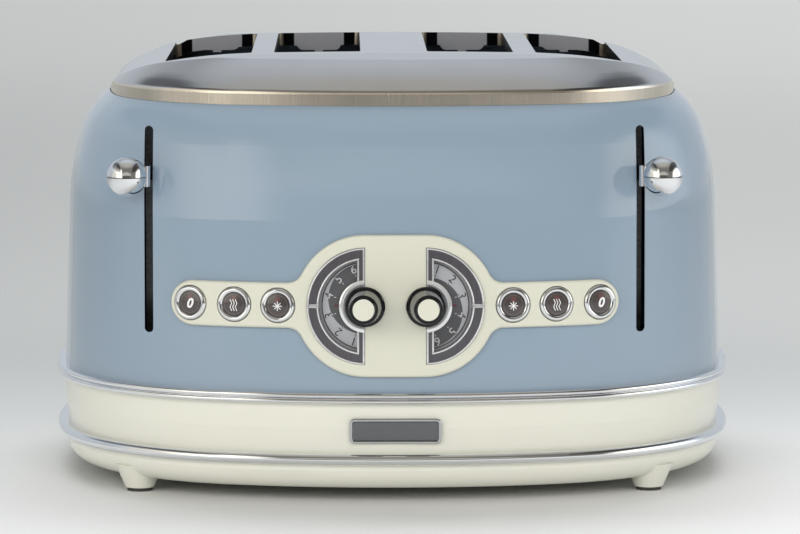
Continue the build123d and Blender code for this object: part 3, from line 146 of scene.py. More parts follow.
class Finish:
    """A finish being mixed: one material, its shader, and the nodes that feed it."""

    def __init__(self, name, sockets, shelf=bpy.data.materials):
        self.material = shelf.new(name)
        self.material.use_nodes = True
        self.tree = self.material.node_tree
        kinds = ("BSDF_PRINCIPLED", "BACKGROUND")
        self.shader = next(made for made in self.tree.nodes if made.type in kinds)
        for socket, value in sockets.items():
            self.feed(socket, value)

    def join(self, socket, value):
        if isinstance(value, Reading):
            self.tree.links.new(value.socket, socket)
        else:
            socket.default_value = value

    def feed(self, socket, value):
        self.join(self.shader.inputs[socket], value)

    def node(self, kind, settings, inputs, output=0):
        made = self.tree.nodes.new("ShaderNode" + kind)
        for name, value in settings.items():
            setattr(made, name, value)
        for socket, value in inputs.items():
            self.join(made.inputs[socket], value)
        return Reading(self, made.outputs[output])

    def spot(self):
        """The place of each point in the toaster's own space."""
        return self.node("TexCoord", {}, {}, "Object")

    def along(self, start, direction):
        """Distance from a start along a direction, in the toaster's own space, in metres."""
        offset = self.node("VectorMath", {"operation": "SUBTRACT"}, {0: self.spot(), 1: start})
        return self.node("VectorMath", {"operation": "DOT_PRODUCT"}, {0: offset, 1: direction}, "Value")

    def tilt(self, axis):
        """How far the surface faces along X, Y or Z, from -1 to 1."""
        facing = self.node("NewGeometry", {}, {}, "Normal")
        return self.node("SeparateXYZ", {}, {0: facing}, axis)

    def noise(self, scale, stretch=(1, 1, 1), detail=2.0, roughness=0.5):
        pulled = self.node("VectorMath", {"operation": "MULTIPLY"}, {0: self.spot(), 1: stretch})
        sockets = {0: pulled, "Scale": scale, "Detail": detail, "Roughness": roughness}
        return self.node("TexNoise", {}, sockets)

    def blend(self, share, first, second, blend_type="MIX"):
        settings = {"data_type": "RGBA", "blend_type": blend_type}
        return self.node("Mix", settings, {0: share, 6: first, 7: second}, 2)

    def relief(self, height, depth):
        """Raise the surface by a height from 0 to 1, up to a depth in metres."""
        self.feed("Normal", self.node("Bump", {}, {"Strength": 1.0, "Distance": depth, "Height": height}))


def tint(red, green, blue):
    """A colour as it is seen on a screen, from 0 to 255, in the shader's own scale."""
    parts = [part / 255 for part in (red, green, blue)]
    return (*[part / 12.92 if part < 0.04 else ((part + 0.055) / 1.055) ** 2.4 for part in parts], 1.0)


bpy.ops.mesh.primitive_plane_add(size=FLOOR_SIZE, location=(0, 0, 0))
floor = bpy.context.object
floor.name = "pale_floor"
paper = Finish("pale_floor", {"Roughness": 0.75, "Specular IOR Level": 0.2, "Emission Strength": 1.0})
mottle = (paper.noise(3.0, detail=4.0) - 0.5) * FLOOR_MOTTLE
back = paper.along((0, 0, 0), (0, 1, 0))
left = paper.along((0, 0, 0), (-1, 0, 0))
# Painted shade and light: greyer behind the toaster, pale again far back, dim towards the camera and to
# the left.
tone = paper.blend(back.step(*GREYER_TO_BACK) + mottle, tint(246, 246, 246), tint(194, 196, 196))
tone = paper.blend(back.step(*PALER_FAR_BACK), tone, tint(240, 243, 243))
tone = paper.blend(back.fade(*DIM_AT_CAMERA), tone, tint(124, 124, 126))
tone = paper.blend(left.step(*DIMMER_TO_LEFT), tone, tint(228, 229, 229), "MULTIPLY")
paper.feed("Base Color", tone)
# Painted glow, seen only by the camera and in reflections, lightens the paper a long way back.
seen = paper.node("LightPath", {}, {}, "Is Camera Ray")
seen = seen + paper.node("LightPath", {}, {}, "Is Glossy Ray")
painted_glow = back.step(*PAINTED_GLOW_FAR_BACK) * seen * PAINTED_FLOOR_GLOW
paper.feed("Emission Color", paper.blend(painted_glow, tint(0, 0, 0), tint(255, 255, 255)))
floor.data.materials.append(paper.material)

# Room: its light by direction. A pale ceiling, with a beam to each side, is brightest behind the toaster.
# A bright wall stands to each side of the camera, and the end wall behind it is dim but for a high
# window, so that the middle of each polished front shows darker.
ROOM_GREY = 0.20
CEILING_LIGHT = 0.62
CEILING_SHARE = 0.5
CEILING_TOP = (0.74, 1.0)
CEILING_SLOPE = (0.3, 0.9)
CEILING_BACK = (-0.1, 0.5)
WALL_FOOT = (-0.12, 0.02)
WALL_HEAD = (0.55, 0.78)
LEFT_WALL_LIGHT = 1.65
LEFT_WALL_INNER = (0.34, 0.50)
LEFT_WALL_OUTER = (0.72, 0.95)
LEFT_WALL_DIMMED = 0.35
LEFT_WALL_END = (-0.1, 0.6)
RIGHT_WALL_LIGHT = 1.8
RIGHT_WALL_INNER = (0.76, 0.92)
RIGHT_WALL_END = (0.1, 0.8)
BACK_WALL_LIGHT = 0.45
BACK_WALL_START = (0.1, 0.6)
BACK_WALL_HEAD = (0.3, 0.8)
END_WALL_LOSS = 0.09
END_WALL_START = (0.90, 0.97)
HIGH_WINDOW_LIGHT = 0.4
HIGH_WINDOW_START = (0.80, 0.92)
HIGH_WINDOW_SILL = (0.14, 0.24)
BEAM_SHADE = 0.7
BEAM_INNER = (0.48, 0.56)
BEAM_OUTER = (0.80, 0.92)
BEAM_FOOT = (0.40, 0.55)
COOLER_TO_BACK = (-0.2, 0.3)
room = Finish("room", {}, bpy.data.worlds)
gaze = room.node("TexCoord", {}, {}, "Generated")
across = room.node("SeparateXYZ", {}, {0: gaze}, "X")
behind = room.node("SeparateXYZ", {}, {0: gaze}, "Y")
height = room.node("SeparateXYZ", {}, {0: gaze}, "Z")
to_left = 0 - across
to_front = 0 - behind
side_wall = height.step(*WALL_FOOT) * height.fade(*WALL_HEAD)
left_wall = to_left.step(*LEFT_WALL_INNER) * to_left.step(*LEFT_WALL_OUTER, 1.0, LEFT_WALL_DIMMED)
left_wall = left_wall * behind.fade(*LEFT_WALL_END) * side_wall
right_wall = across.step(*RIGHT_WALL_INNER) * behind.fade(*RIGHT_WALL_END) * side_wall
back_wall = behind.step(*BACK_WALL_START) * height.fade(*BACK_WALL_HEAD)
end_wall = to_front.step(*END_WALL_START)
high_window = to_front.step(*HIGH_WINDOW_START) * height.step(*HIGH_WINDOW_SILL)
ceiling = height.step(*CEILING_TOP) * CEILING_SHARE
ceiling = ceiling + height.step(*CEILING_SLOPE) * behind.step(*CEILING_BACK) * CEILING_SHARE
beams = abs(across).step(*BEAM_INNER) * abs(across).fade(*BEAM_OUTER) * height.step(*BEAM_FOOT)
light = ROOM_GREY + ceiling * CEILING_LIGHT + left_wall * LEFT_WALL_LIGHT + right_wall * RIGHT_WALL_LIGHT
light = light + back_wall * BACK_WALL_LIGHT - end_wall * END_WALL_LOSS + high_window * HIGH_WINDOW_LIGHT
room.feed("Color", room.blend(behind.step(*COOLER_TO_BACK), tint(255, 250, 238), tint(240, 247, 255)))
room.feed("Strength", light * (1 - beams * BEAM_SHADE))
bpy.context.scene.world = room.material

# Lamps: two soft boxes, one high over the back of the toaster and one well in front of it, light the
# colours evenly. They are kept out of the reflections.
LAMPS_AIM = Vector((0, 0, 0.1))
SOFT_BOXES = (
    ("overhead", (-0.05, 0.75, 1.70), (1.8, 1.0), 24.5),
    ("fill", (0.00, -1.80, 0.85), (2.6, 0.9), 20.5),
)
for name, place, size, power in SOFT_BOXES:
    turn = (LAMPS_AIM - Vector(place)).to_track_quat("-Z", "Y").to_euler()
    bpy.ops.object.light_add(type="AREA", location=place, rotation=turn)
    soft_box = bpy.context.object
    soft_box.name = "soft_box_" + name
    soft_box.visible_glossy = False
    soft_box.data.shape = "RECTANGLE"
    soft_box.data.size, soft_box.data.size_y = size
    soft_box.data.energy = power

# Base, feet, band and tray doors: moulded in cream plastic and polished in the mould, with the faint
# orange peel and the slightly duller patches that such mouldings have. Screws hold the base from below.
CREAM_PEEL = 0.00003


def dress(finish, *nodes):
    """Give nodes of the frame a finish."""
    for node in nodes:
        materials = frame["nodes"][node].data.materials
        materials.clear()
        materials.append(finish.material)


cream = Finish("cream_moulding", {"Coat Weight": 0.35, "Coat Roughness": 0.06})
cloud = cream.noise(9.0, detail=3.0)
cream.feed("Base Color", cream.blend(cloud, tint(229, 229, 218), tint(223, 223, 211)))
cream.feed("Roughness", 0.26 + cream.noise(35.0, detail=4.0) * 0.12)
cream.relief(cream.noise(420.0, detail=1.0), CREAM_PEEL)
dress(cream, "base_tray", "feet", "skirt_band", "crumb_tray_door_left", "crumb_tray_door_right")

# Pads and cable gland: soft black rubber. The pads are pressed under the feet, and the gland through
# the rear of the band.
RUBBER_GRAIN = 0.00005
pad_rubber = Finish("pad_rubber", {})
speck = pad_rubber.noise(900.0, detail=3.0)
pad_rubber.feed("Base Color", pad_rubber.blend(speck, tint(52, 52, 50), tint(74, 73, 70)))
pad_rubber.feed("Roughness", 0.7 + speck * 0.2)
pad_rubber.relief(speck, RUBBER_GRAIN)
dress(pad_rubber, "foot_pads", "cable_gland")

# Chrome rings: rolled steel strip, plated and polished to a mirror, that clip between the mouldings.
# Thumb marks and wiping leave the mirror a little duller in places.
CHROME_RIPPLE = 0.00001


def plating(name):
    """Chrome with its wiping marks, and the tone and the roughness that it starts from."""
    plated = Finish(name, {"Metallic": 1.0})
    smear = plated.noise(22.0, stretch=(1, 1, 2.5), detail=5.0, roughness=0.6)
    tone = plated.blend(smear, tint(240, 241, 243), tint(226, 228, 231))
    return plated, tone, 0.035 + smear.step(0.45, 0.8) * 0.07


chrome, tone, dullness = plating("chrome")
chrome.feed("Base Color", tone)
chrome.feed("Roughness", dullness)
chrome.relief(chrome.noise(150.0, detail=1.0), CHROME_RIPPLE)
dress(chrome, "lower_chrome_ring", "upper_chrome_ring")

# Plate on the band: a small cast plate, bare, with a polished rim round a satin field. It is held by
# two pins from behind and follows the lean of the band.
PLATE_WIDTH = 0.040
PLATE_HEIGHT = 0.011
PLATE_THICKNESS = 0.0016
PLATE_CORNER = 0.0021
PLATE_CORNER_STEPS = 8
PLATE_RIM = 0.0011
PLATE_SINK = 0.0006
PLATE_RAKE = 0.0002
PLATE_EDGE = 0.0003
PLATE_EDGE_STEPS = 3
PLATE_LET_IN = 0.0003
PLATE_MIDDLE = 0.0329
FACES_FRONT = 0.9
CAST_GRAIN = 0.00003
FIELD_HEIGHT = (0.0008, 0.0011)


def pick(piece, kind, wanted):
    """Go into edit mode with only the edges or faces selected that are wanted."""
    bpy.ops.object.mode_set(mode="EDIT")
    bpy.ops.mesh.select_mode(type=kind)
    bpy.ops.mesh.select_all(action="DESELECT")
    bpy.ops.object.mode_set(mode="OBJECT")
    items = {"EDGE": piece.data.edges, "FACE": piece.data.polygons}[kind]
    for item in items:
        item.select = wanted(item)
    bpy.ops.object.mode_set(mode="EDIT")


def stands_up(edge):
    """Whether an edge of the plate goes from its back to its front."""
    low, high = [plate.data.vertices[index].co.z for index in edge.vertices]
    return low * high < 0


def settle(piece):
    """Put a piece's place, turn and size into its mesh."""
    bpy.ops.object.select_all(action="DESELECT")
    piece.select_set(True)
    bpy.context.view_layer.objects.active = piece
    bpy.ops.object.transform_apply(location=True, rotation=True, scale=True)


def bearings(outward):
    """The level direction to the right, and the direction up, on a surface that faces outward."""
    right = Vector((0, 0, 1)).cross(outward).normalized()
    return right, outward.cross(right)


def place_on(piece, centre, outward):
    """Stand a piece that was made flat at the origin on a surface: its top up, its front outward."""
    turn = Matrix((*bearings(outward), outward)).transposed().to_4x4()
    piece.matrix_world = Matrix.Translation(centre) @ turn
    settle(piece)


def surface(node, start, direction):
    """Where a straight line first meets a node of the frame, and which way the node faces there."""
    return frame["nodes"][node].ray_cast(Vector(start), Vector(direction))[1:3]


bpy.ops.mesh.primitive_cube_add(size=1)
plate = bpy.context.object
plate.name = "band_plate"
plate.scale = (PLATE_WIDTH, PLATE_HEIGHT, PLATE_THICKNESS)
settle(plate)
pick(plate, "EDGE", stands_up)
bpy.ops.mesh.bevel(offset=PLATE_CORNER, segments=PLATE_CORNER_STEPS, affect="EDGES")
bpy.ops.object.mode_set(mode="OBJECT")
pick(plate, "FACE", lambda face: face.normal.z > FACES_FRONT)
bpy.ops.mesh.inset(thickness=PLATE_RIM)
bpy.ops.mesh.inset(thickness=PLATE_RAKE, depth=-PLATE_SINK)
bpy.ops.object.mode_set(mode="OBJECT")
rounding = plate.modifiers.new("rounding", "BEVEL")
rounding.width = PLATE_EDGE
rounding.segments = PLATE_EDGE_STEPS
rounding.limit_method = "ANGLE"
bpy.ops.object.modifier_apply(modifier="rounding")
seat, outward = surface("skirt_band", (0, -1, PLATE_MIDDLE), (0, 1, 0))
place_on(plate, seat + outward * (PLATE_THICKNESS / 2 - PLATE_LET_IN), outward)
plate_metal = Finish("band_plate_metal", {"Metallic": 1.0})
field = plate_metal.along(seat, outward).fade(*FIELD_HEIGHT)
cast = plate_metal.noise(2200.0, detail=2.0)
rim_tone = plate_metal.blend(cast, tint(206, 208, 210), tint(190, 192, 195))
field_tone = plate_metal.blend(cast, tint(132, 133, 136), tint(112, 113, 117))
plate_metal.feed("Base Color", plate_metal.blend(field, rim_tone, field_tone))
plate_metal.feed("Roughness", 0.12 + field * 0.22 + cast * 0.08)
plate_metal.relief(cast * field, CAST_GRAIN)
plate.data.materials.append(plate_metal.material)
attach(plate, "root")

# Chassis, heat shields, rods and crumb trays, of which the slots show a little: zinc-coated steel with
# its spangle. The base screws hold the chassis from below.
zinc = Finish("zinc_sheet", {"Metallic": 1.0})
spangle = zinc.node("TexVoronoi", {"feature": "F1"}, {"Scale": 140.0}, "Color")
flake = zinc.node("SeparateColor", {}, {0: spangle}, 0)
zinc.feed("Base Color", zinc.blend(flake, tint(150, 152, 154), tint(186, 188, 190)))
zinc.feed("Roughness", 0.32 + flake * 0.2)
dress(zinc, "base_screws", "chassis_floor", "front_end_plate", "rear_end_plate")
dress(zinc, "heat_shields", "guide_rods", "crumb_tray_left", "crumb_tray_right")

# Heaters: cards of pressed mica with dull heating ribbon over both faces. The latch magnets are as
# dull as that ribbon.
mica = Finish("mica", {"Coat Weight": 0.2})
fleck = mica.noise(260.0, stretch=(1, 0.4, 1), detail=6.0, roughness=0.7)
mica.feed("Base Color", mica.blend(fleck.step(0.3, 0.7), tint(176, 158, 122), tint(206, 190, 158)))
mica.feed("Roughness", 0.3 + fleck * 0.3)
dress(mica, "mica_cards_left", "mica_cards_right")
ribbon = Finish("heating_ribbon", {"Metallic": 1.0})
scale_marks = ribbon.noise(300.0, stretch=(1, 0.1, 1), detail=3.0)
ribbon.feed("Base Color", ribbon.blend(scale_marks, tint(96, 88, 82), tint(132, 124, 114)))
ribbon.feed("Roughness", 0.4 + scale_marks * 0.25)
dress(ribbon, "heating_ribbons_left", "heating_ribbons_right", "electromagnets")

# Bread guides and carriages: drawn steel wire and pressed plate, welded and left bare, so that they
# keep the long marks of the drawing.
wire = Finish("drawn_wire", {"Metallic": 1.0})
draw_marks = wire.noise(800.0, stretch=(1, 0.15, 0.15), detail=2.0)
wire.feed("Base Color", wire.blend(draw_marks, tint(150, 150, 148), tint(186, 186, 184)))
wire.feed("Roughness", 0.22 + draw_marks * 0.2)
for end in ("left", "right"):
    dress(wire, "near_bread_guides_" + end, "far_bread_guides_" + end, "bread_carriage_" + end)

# Electrical parts, all inside: a board under green lacquer that shows its tracks, and rotary controls
# and a terminal block in black moulding.
MOULDED_GRAIN = 0.00002
lacquer = Finish("board_lacquer", {"Coat Weight": 0.6})
tracks = lacquer.noise(220.0, stretch=(1, 1, 0.2), detail=1.0).step(0.5, 0.52)
lacquer.feed("Base Color", lacquer.blend(tracks, tint(30, 84, 52), tint(46, 108, 68)))
lacquer.feed("Roughness", 0.35 + tracks * 0.1)
dress(lacquer, "control_board")
dark_moulding = Finish("dark_moulding", {})
matt = dark_moulding.noise(500.0, detail=2.0)
dark_moulding.feed("Base Color", dark_moulding.blend(matt, tint(36, 36, 38), tint(48, 48, 50)))
dark_moulding.feed("Roughness", 0.45 + matt * 0.2)
dark_moulding.relief(matt, MOULDED_GRAIN)
dress(dark_moulding, "timer_controls", "terminal_block")

# Lift springs: round wire wound over each guide rod, from the chassis floor up to the carriage. The
# lower end stays on the floor, and each coil keeps its full height.
SPRING_WIRE = 0.0005
SPRING_TURNS = 22
SPRING_SIDES = 8
SPRING_STEPS = 24
SPRING_SMOOTH = radians(60)


def copy_at(pattern, place):
    """A copy of a pattern at a place, with a mesh of its own."""
    made = pattern.copy()
    made.data = pattern.data.copy()
    made.matrix_world = place
    bpy.context.collection.objects.link(made)
    return made


spring_steel = Finish("spring_steel", {"Metallic": 1.0})
coil_marks = spring_steel.noise(700.0, stretch=(1, 1, 0.3), detail=2.0)
spring_steel.feed("Base Color", spring_steel.blend(coil_marks, tint(122, 122, 124), tint(156, 156, 157)))
spring_steel.feed("Roughness", 0.25 + coil_marks * 0.2)
low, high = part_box("lift_spring_left")
coil_radius = (high.x - low.x) / 2 - SPRING_WIRE
bpy.ops.mesh.primitive_circle_add(vertices=SPRING_SIDES, radius=SPRING_WIRE)
coil = bpy.context.object
coil.matrix_world = Matrix.Translation((coil_radius, 0, SPRING_WIRE)) @ Matrix.Rotation(pi / 2, 4, "X")
settle(coil)
winding = coil.modifiers.new("winding", "SCREW")
winding.iterations = SPRING_TURNS
winding.steps = SPRING_STEPS
winding.render_steps = SPRING_STEPS
winding.screw_offset = (high.z - low.z - 2 * SPRING_WIRE) / SPRING_TURNS
bpy.ops.object.modifier_apply(modifier="winding")
bpy.ops.object.mode_set(mode="EDIT")
bpy.ops.mesh.select_all(action="SELECT")
bpy.ops.mesh.fill_holes(sides=SPRING_SIDES)
bpy.ops.mesh.select_all(action="SELECT")
bpy.ops.mesh.normals_make_consistent(inside=False)
bpy.ops.object.mode_set(mode="OBJECT")
bpy.ops.object.shade_smooth_by_angle(angle=SPRING_SMOOTH)
coil.data.materials.append(spring_steel.material)
for end in ("left", "right"):
    low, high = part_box("lift_spring_" + end)
    middle = (low + high) / 2
    spring = copy_at(coil, Matrix.Translation((middle.x, middle.y, low.z)))
    spring.name = "coil_spring_" + end
    settle(spring)
    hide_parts("lift_spring_" + end)
    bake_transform(spring)
bpy.data.objects.remove(coil)

# Shell: drawn steel under pastel grey-blue stove enamel. The enamel lies glass-smooth, with only
# a slow ripple in its reflections and a trace of mottle in the colour.
ENAMEL_RIPPLE = 0.00004
enamel = Finish("blue_enamel", {"Coat Weight": 1.0, "Coat Roughness": 0.03, "Coat IOR": 1.5})
drift = enamel.noise(5.0, detail=3.0)
enamel.feed("Base Color", enamel.blend(drift, tint(141, 160, 178), tint(136, 155, 173)))
enamel.feed("Roughness", 0.42 + enamel.noise(60.0, detail=3.0) * 0.1)
enamel.relief(enamel.noise(45.0, detail=1.0), ENAMEL_RIPPLE)
dress(enamel, "outer_shell")

# Top: pressed stainless sheet. Its dome and shoulder are polished, and the upright band below them is
# brushed up and down in fine lines. The slots' ends have dull tabs, with painted shade to both sides of
# them.
BRUSHED_DEPTH = 0.000008
BRUSHED_LINES = (3600.0, 3600.0, 30.0)
BAND_TILT = (0.30, 0.42)
CORNER_TILT = (0.05, 0.15)
SLOTS_HALF_WIDTH = 0.106
SLOTS_HALF_LENGTH = 0.086
SLOTS_EDGE = 0.001
INNER_SLOT = 0.0342
OUTER_SLOT = 0.0829
TAB_HALF_WIDTH = 0.0116
TAB_EDGE = 0.0006
stainless = Finish("brushed_stainless", {})
crosswise = abs(stainless.along((0, 0, 0), (1, 0, 0)))
lengthwise = abs(stainless.along((0, 0, 0), (0, 1, 0)))
upright = abs(stainless.tilt("Z")).fade(*BAND_TILT)
square = abs(stainless.tilt("X") * stainless.tilt("Y")).fade(*CORNER_TILT)
in_slots = lengthwise.fade(SLOTS_HALF_LENGTH, SLOTS_HALF_LENGTH + SLOTS_EDGE)
in_slots = in_slots * crosswise.fade(SLOTS_HALF_WIDTH, SLOTS_HALF_WIDTH + SLOTS_EDGE)
in_slots = in_slots * square * upright
# Painted shade: the slot walls beside each tab are painted near black where the gaps are.
from_tab = abs(crosswise - INNER_SLOT).least(abs(crosswise - OUTER_SLOT))
shade_beside_tab = from_tab.step(TAB_HALF_WIDTH, TAB_HALF_WIDTH + TAB_EDGE)
lines = stainless.noise(1.0, stretch=BRUSHED_LINES, detail=3.0, roughness=0.7)
satin = stainless.noise(60.0, detail=3.0)
polished = stainless.blend(satin, tint(213, 213, 213), tint(206, 206, 207))
brushed = stainless.blend(lines.step(0.2, 0.8), tint(214, 206, 194), tint(238, 228, 212))
outside = stainless.blend(upright, polished, brushed)
tab_tone = stainless.blend(lines, tint(158, 160, 166), tint(172, 174, 180))
tab_and_painted_shade = stainless.blend(shade_beside_tab, tab_tone, tint(40, 42, 46))
stainless.feed("Base Color", stainless.blend(in_slots, outside, tab_and_painted_shade))
stainless.feed("Metallic", 1 - in_slots * (1 - shade_beside_tab) * 0.7)
stainless.feed("Roughness", 0.1 + satin * 0.05 + upright * (0.06 + lines * 0.12))
stainless.relief(lines * upright, BRUSHED_DEPTH)
dress(stainless, "top_plate")

# Levers: flat steel arms with balls, chromed like the rings.
# A thin dark band is painted round each ball at its middle height.
MIDDLE_BAND_HALF = 0.00018
MIDDLE_BAND_SOFT = 0.00008
for end in ("left", "right"):
    low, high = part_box("lever_ball_" + end)
    ball_chrome, tone, dullness = plating("ball_chrome_" + end)
    middle_band = ball_chrome.along((low + high) / 2, (0, 0, 1)).within(0.0, MIDDLE_BAND_HALF, MIDDLE_BAND_SOFT)
    ball_chrome.feed("Base Color", ball_chrome.blend(middle_band, tone, tint(84, 85, 88)))
    ball_chrome.feed("Roughness", dullness + middle_band * 0.3)
    dress(ball_chrome, "lever_ball_" + end)
    dress(chrome, "lever_arm_" + end)

# Control panel: one cream moulding with a satin skin, a little deeper in colour than the base. It lies
# over the shell's front and holds the dials and buttons.
PANEL_PEEL = 0.00003
panel_skin = Finish("panel_moulding", {"Coat Weight": 0.15, "Coat Roughness": 0.15})
cloud = panel_skin.noise(14.0, detail=3.0)
panel_skin.feed("Base Color", panel_skin.blend(cloud, tint(219, 219, 205), tint(214, 214, 199)))
panel_skin.feed("Roughness", 0.36 + panel_skin.noise(60.0, detail=3.0) * 0.1)
panel_skin.relief(panel_skin.noise(500.0, detail=1.0), PANEL_PEEL)
dress(panel_skin, "control_panel")

# Dials: a die-cast bezel with a brushed dark band between polished lips, and a polished collar. Its lips,
# collar and split carry a painted white reflection, and its well round the knob is painted near black as
# painted shade. It lies over a scale plate printed in two greys, with six numbers, their ticks and a small
# red mark.
SOFT_EDGE = 0.0001
BEZEL_FLOOR = 0.0024
BEZEL_RADIUS = 0.0254
INNER_RADIUS = 0.0203
LIP_RISE = 0.0002
LIP_HALF = 0.0004
LIP_CROWN = 0.00022
COLLAR_RADIUS = 0.0114
COLLAR_HALF = 0.0013
COLLAR_CROWN = 1.2
WELL_RADIUS = 0.0088
SPLIT_HALF = 0.0008
SPLIT_INNER_END = (0.0195, 0.0200)
BAND_SCRATCHES = (2600.0, 400.0, 90.0)
SCALE_FACE = -0.0014
SCALE_EDGE = 0.0190
SCALE_LINE = 0.00025
SCALE_LINE_SOFT = 0.00006
CRESCENT_RADIUS = 0.0153
CRESCENT_OUT = 0.0010
CRESCENT_LIFT = 0.0030
NUMBER_RING = 0.0164
NUMBER_HEIGHT = 0.0052
NUMBER_TURNS = (71.3, 44.0, 15.0, -15.0, -44.0, -71.3)
TICK_RING = 0.0138
TICK_WIDTH = 0.0003
TICK_LENGTH = 0.0009
MARK_RING = 0.0128
MARK_HALF_WIDTH = 0.00105
MARK_HALF_HEIGHT = 0.00065
MARK_SIDES = 20
PRINT_THICKNESS = 0.00004
joints = {joint["name"]: joint for joint in frame["joints"]}


def knob_axis(end):
    """The middle of a dial and the way it faces, as the joint of its knob gives them."""
    joint = joints["knob_turn_" + end]
    return Vector(joint["pos_m"]), Vector(joint["axis"]).normalized()


def offsets(finish, centre, outward):
    """How far to the right of a centre and how far above it, on a surface that faces outward."""
    right, up = bearings(outward)
    return finish.along(centre, right), finish.along(centre, up)


def distance(side, rise):
    """How far a point lies from the middle that its two offsets start at."""
    return (side * side + rise * rise) ** 0.5


def light_crescent(finish, hub, outward, way):
    """One on the light part of a scale plate: all that lies outside a circle set off its middle."""
    side, rise = offsets(finish, hub, outward)
    off_middle = distance(side - way * CRESCENT_OUT, rise + way * CRESCENT_LIFT)
    return off_middle.past(CRESCENT_RADIUS, SOFT_EDGE)


def letter(text, size, thickness, steps=12, slant=0.0, swell=0.0):
    """One figure in plain type, flat round the origin, as a thin mesh."""
    bpy.ops.object.text_add()
    drawn = bpy.context.object
    drawn.data.body = text
    drawn.data.align_x = "CENTER"
    drawn.data.align_y = "CENTER"
    drawn.data.size = size
    drawn.data.extrude = thickness
    drawn.data.resolution_u = steps
    drawn.data.shear = slant
    drawn.data.offset = swell
    bpy.ops.object.convert(target="MESH")
    return bpy.context.object


def join_as(name, pieces):
    """Make one piece of several, with its place in its mesh."""
    bpy.ops.object.select_all(action="DESELECT")
    for piece in pieces:
        piece.select_set(True)
    bpy.context.view_layer.objects.active = pieces[0]
    bpy.ops.object.join()
    whole = bpy.context.object
    whole.name = name
    settle(whole)
    return whole


def ring_place(radius, reach, lean, way):
    """A place and a turn on a ring round a dial, at an angle that is counted from its outer side."""
    spot = (way * radius * cos(reach), radius * sin(reach), 0)
    return Matrix.Translation(spot) @ Matrix.Rotation(lean, 4, "Z")


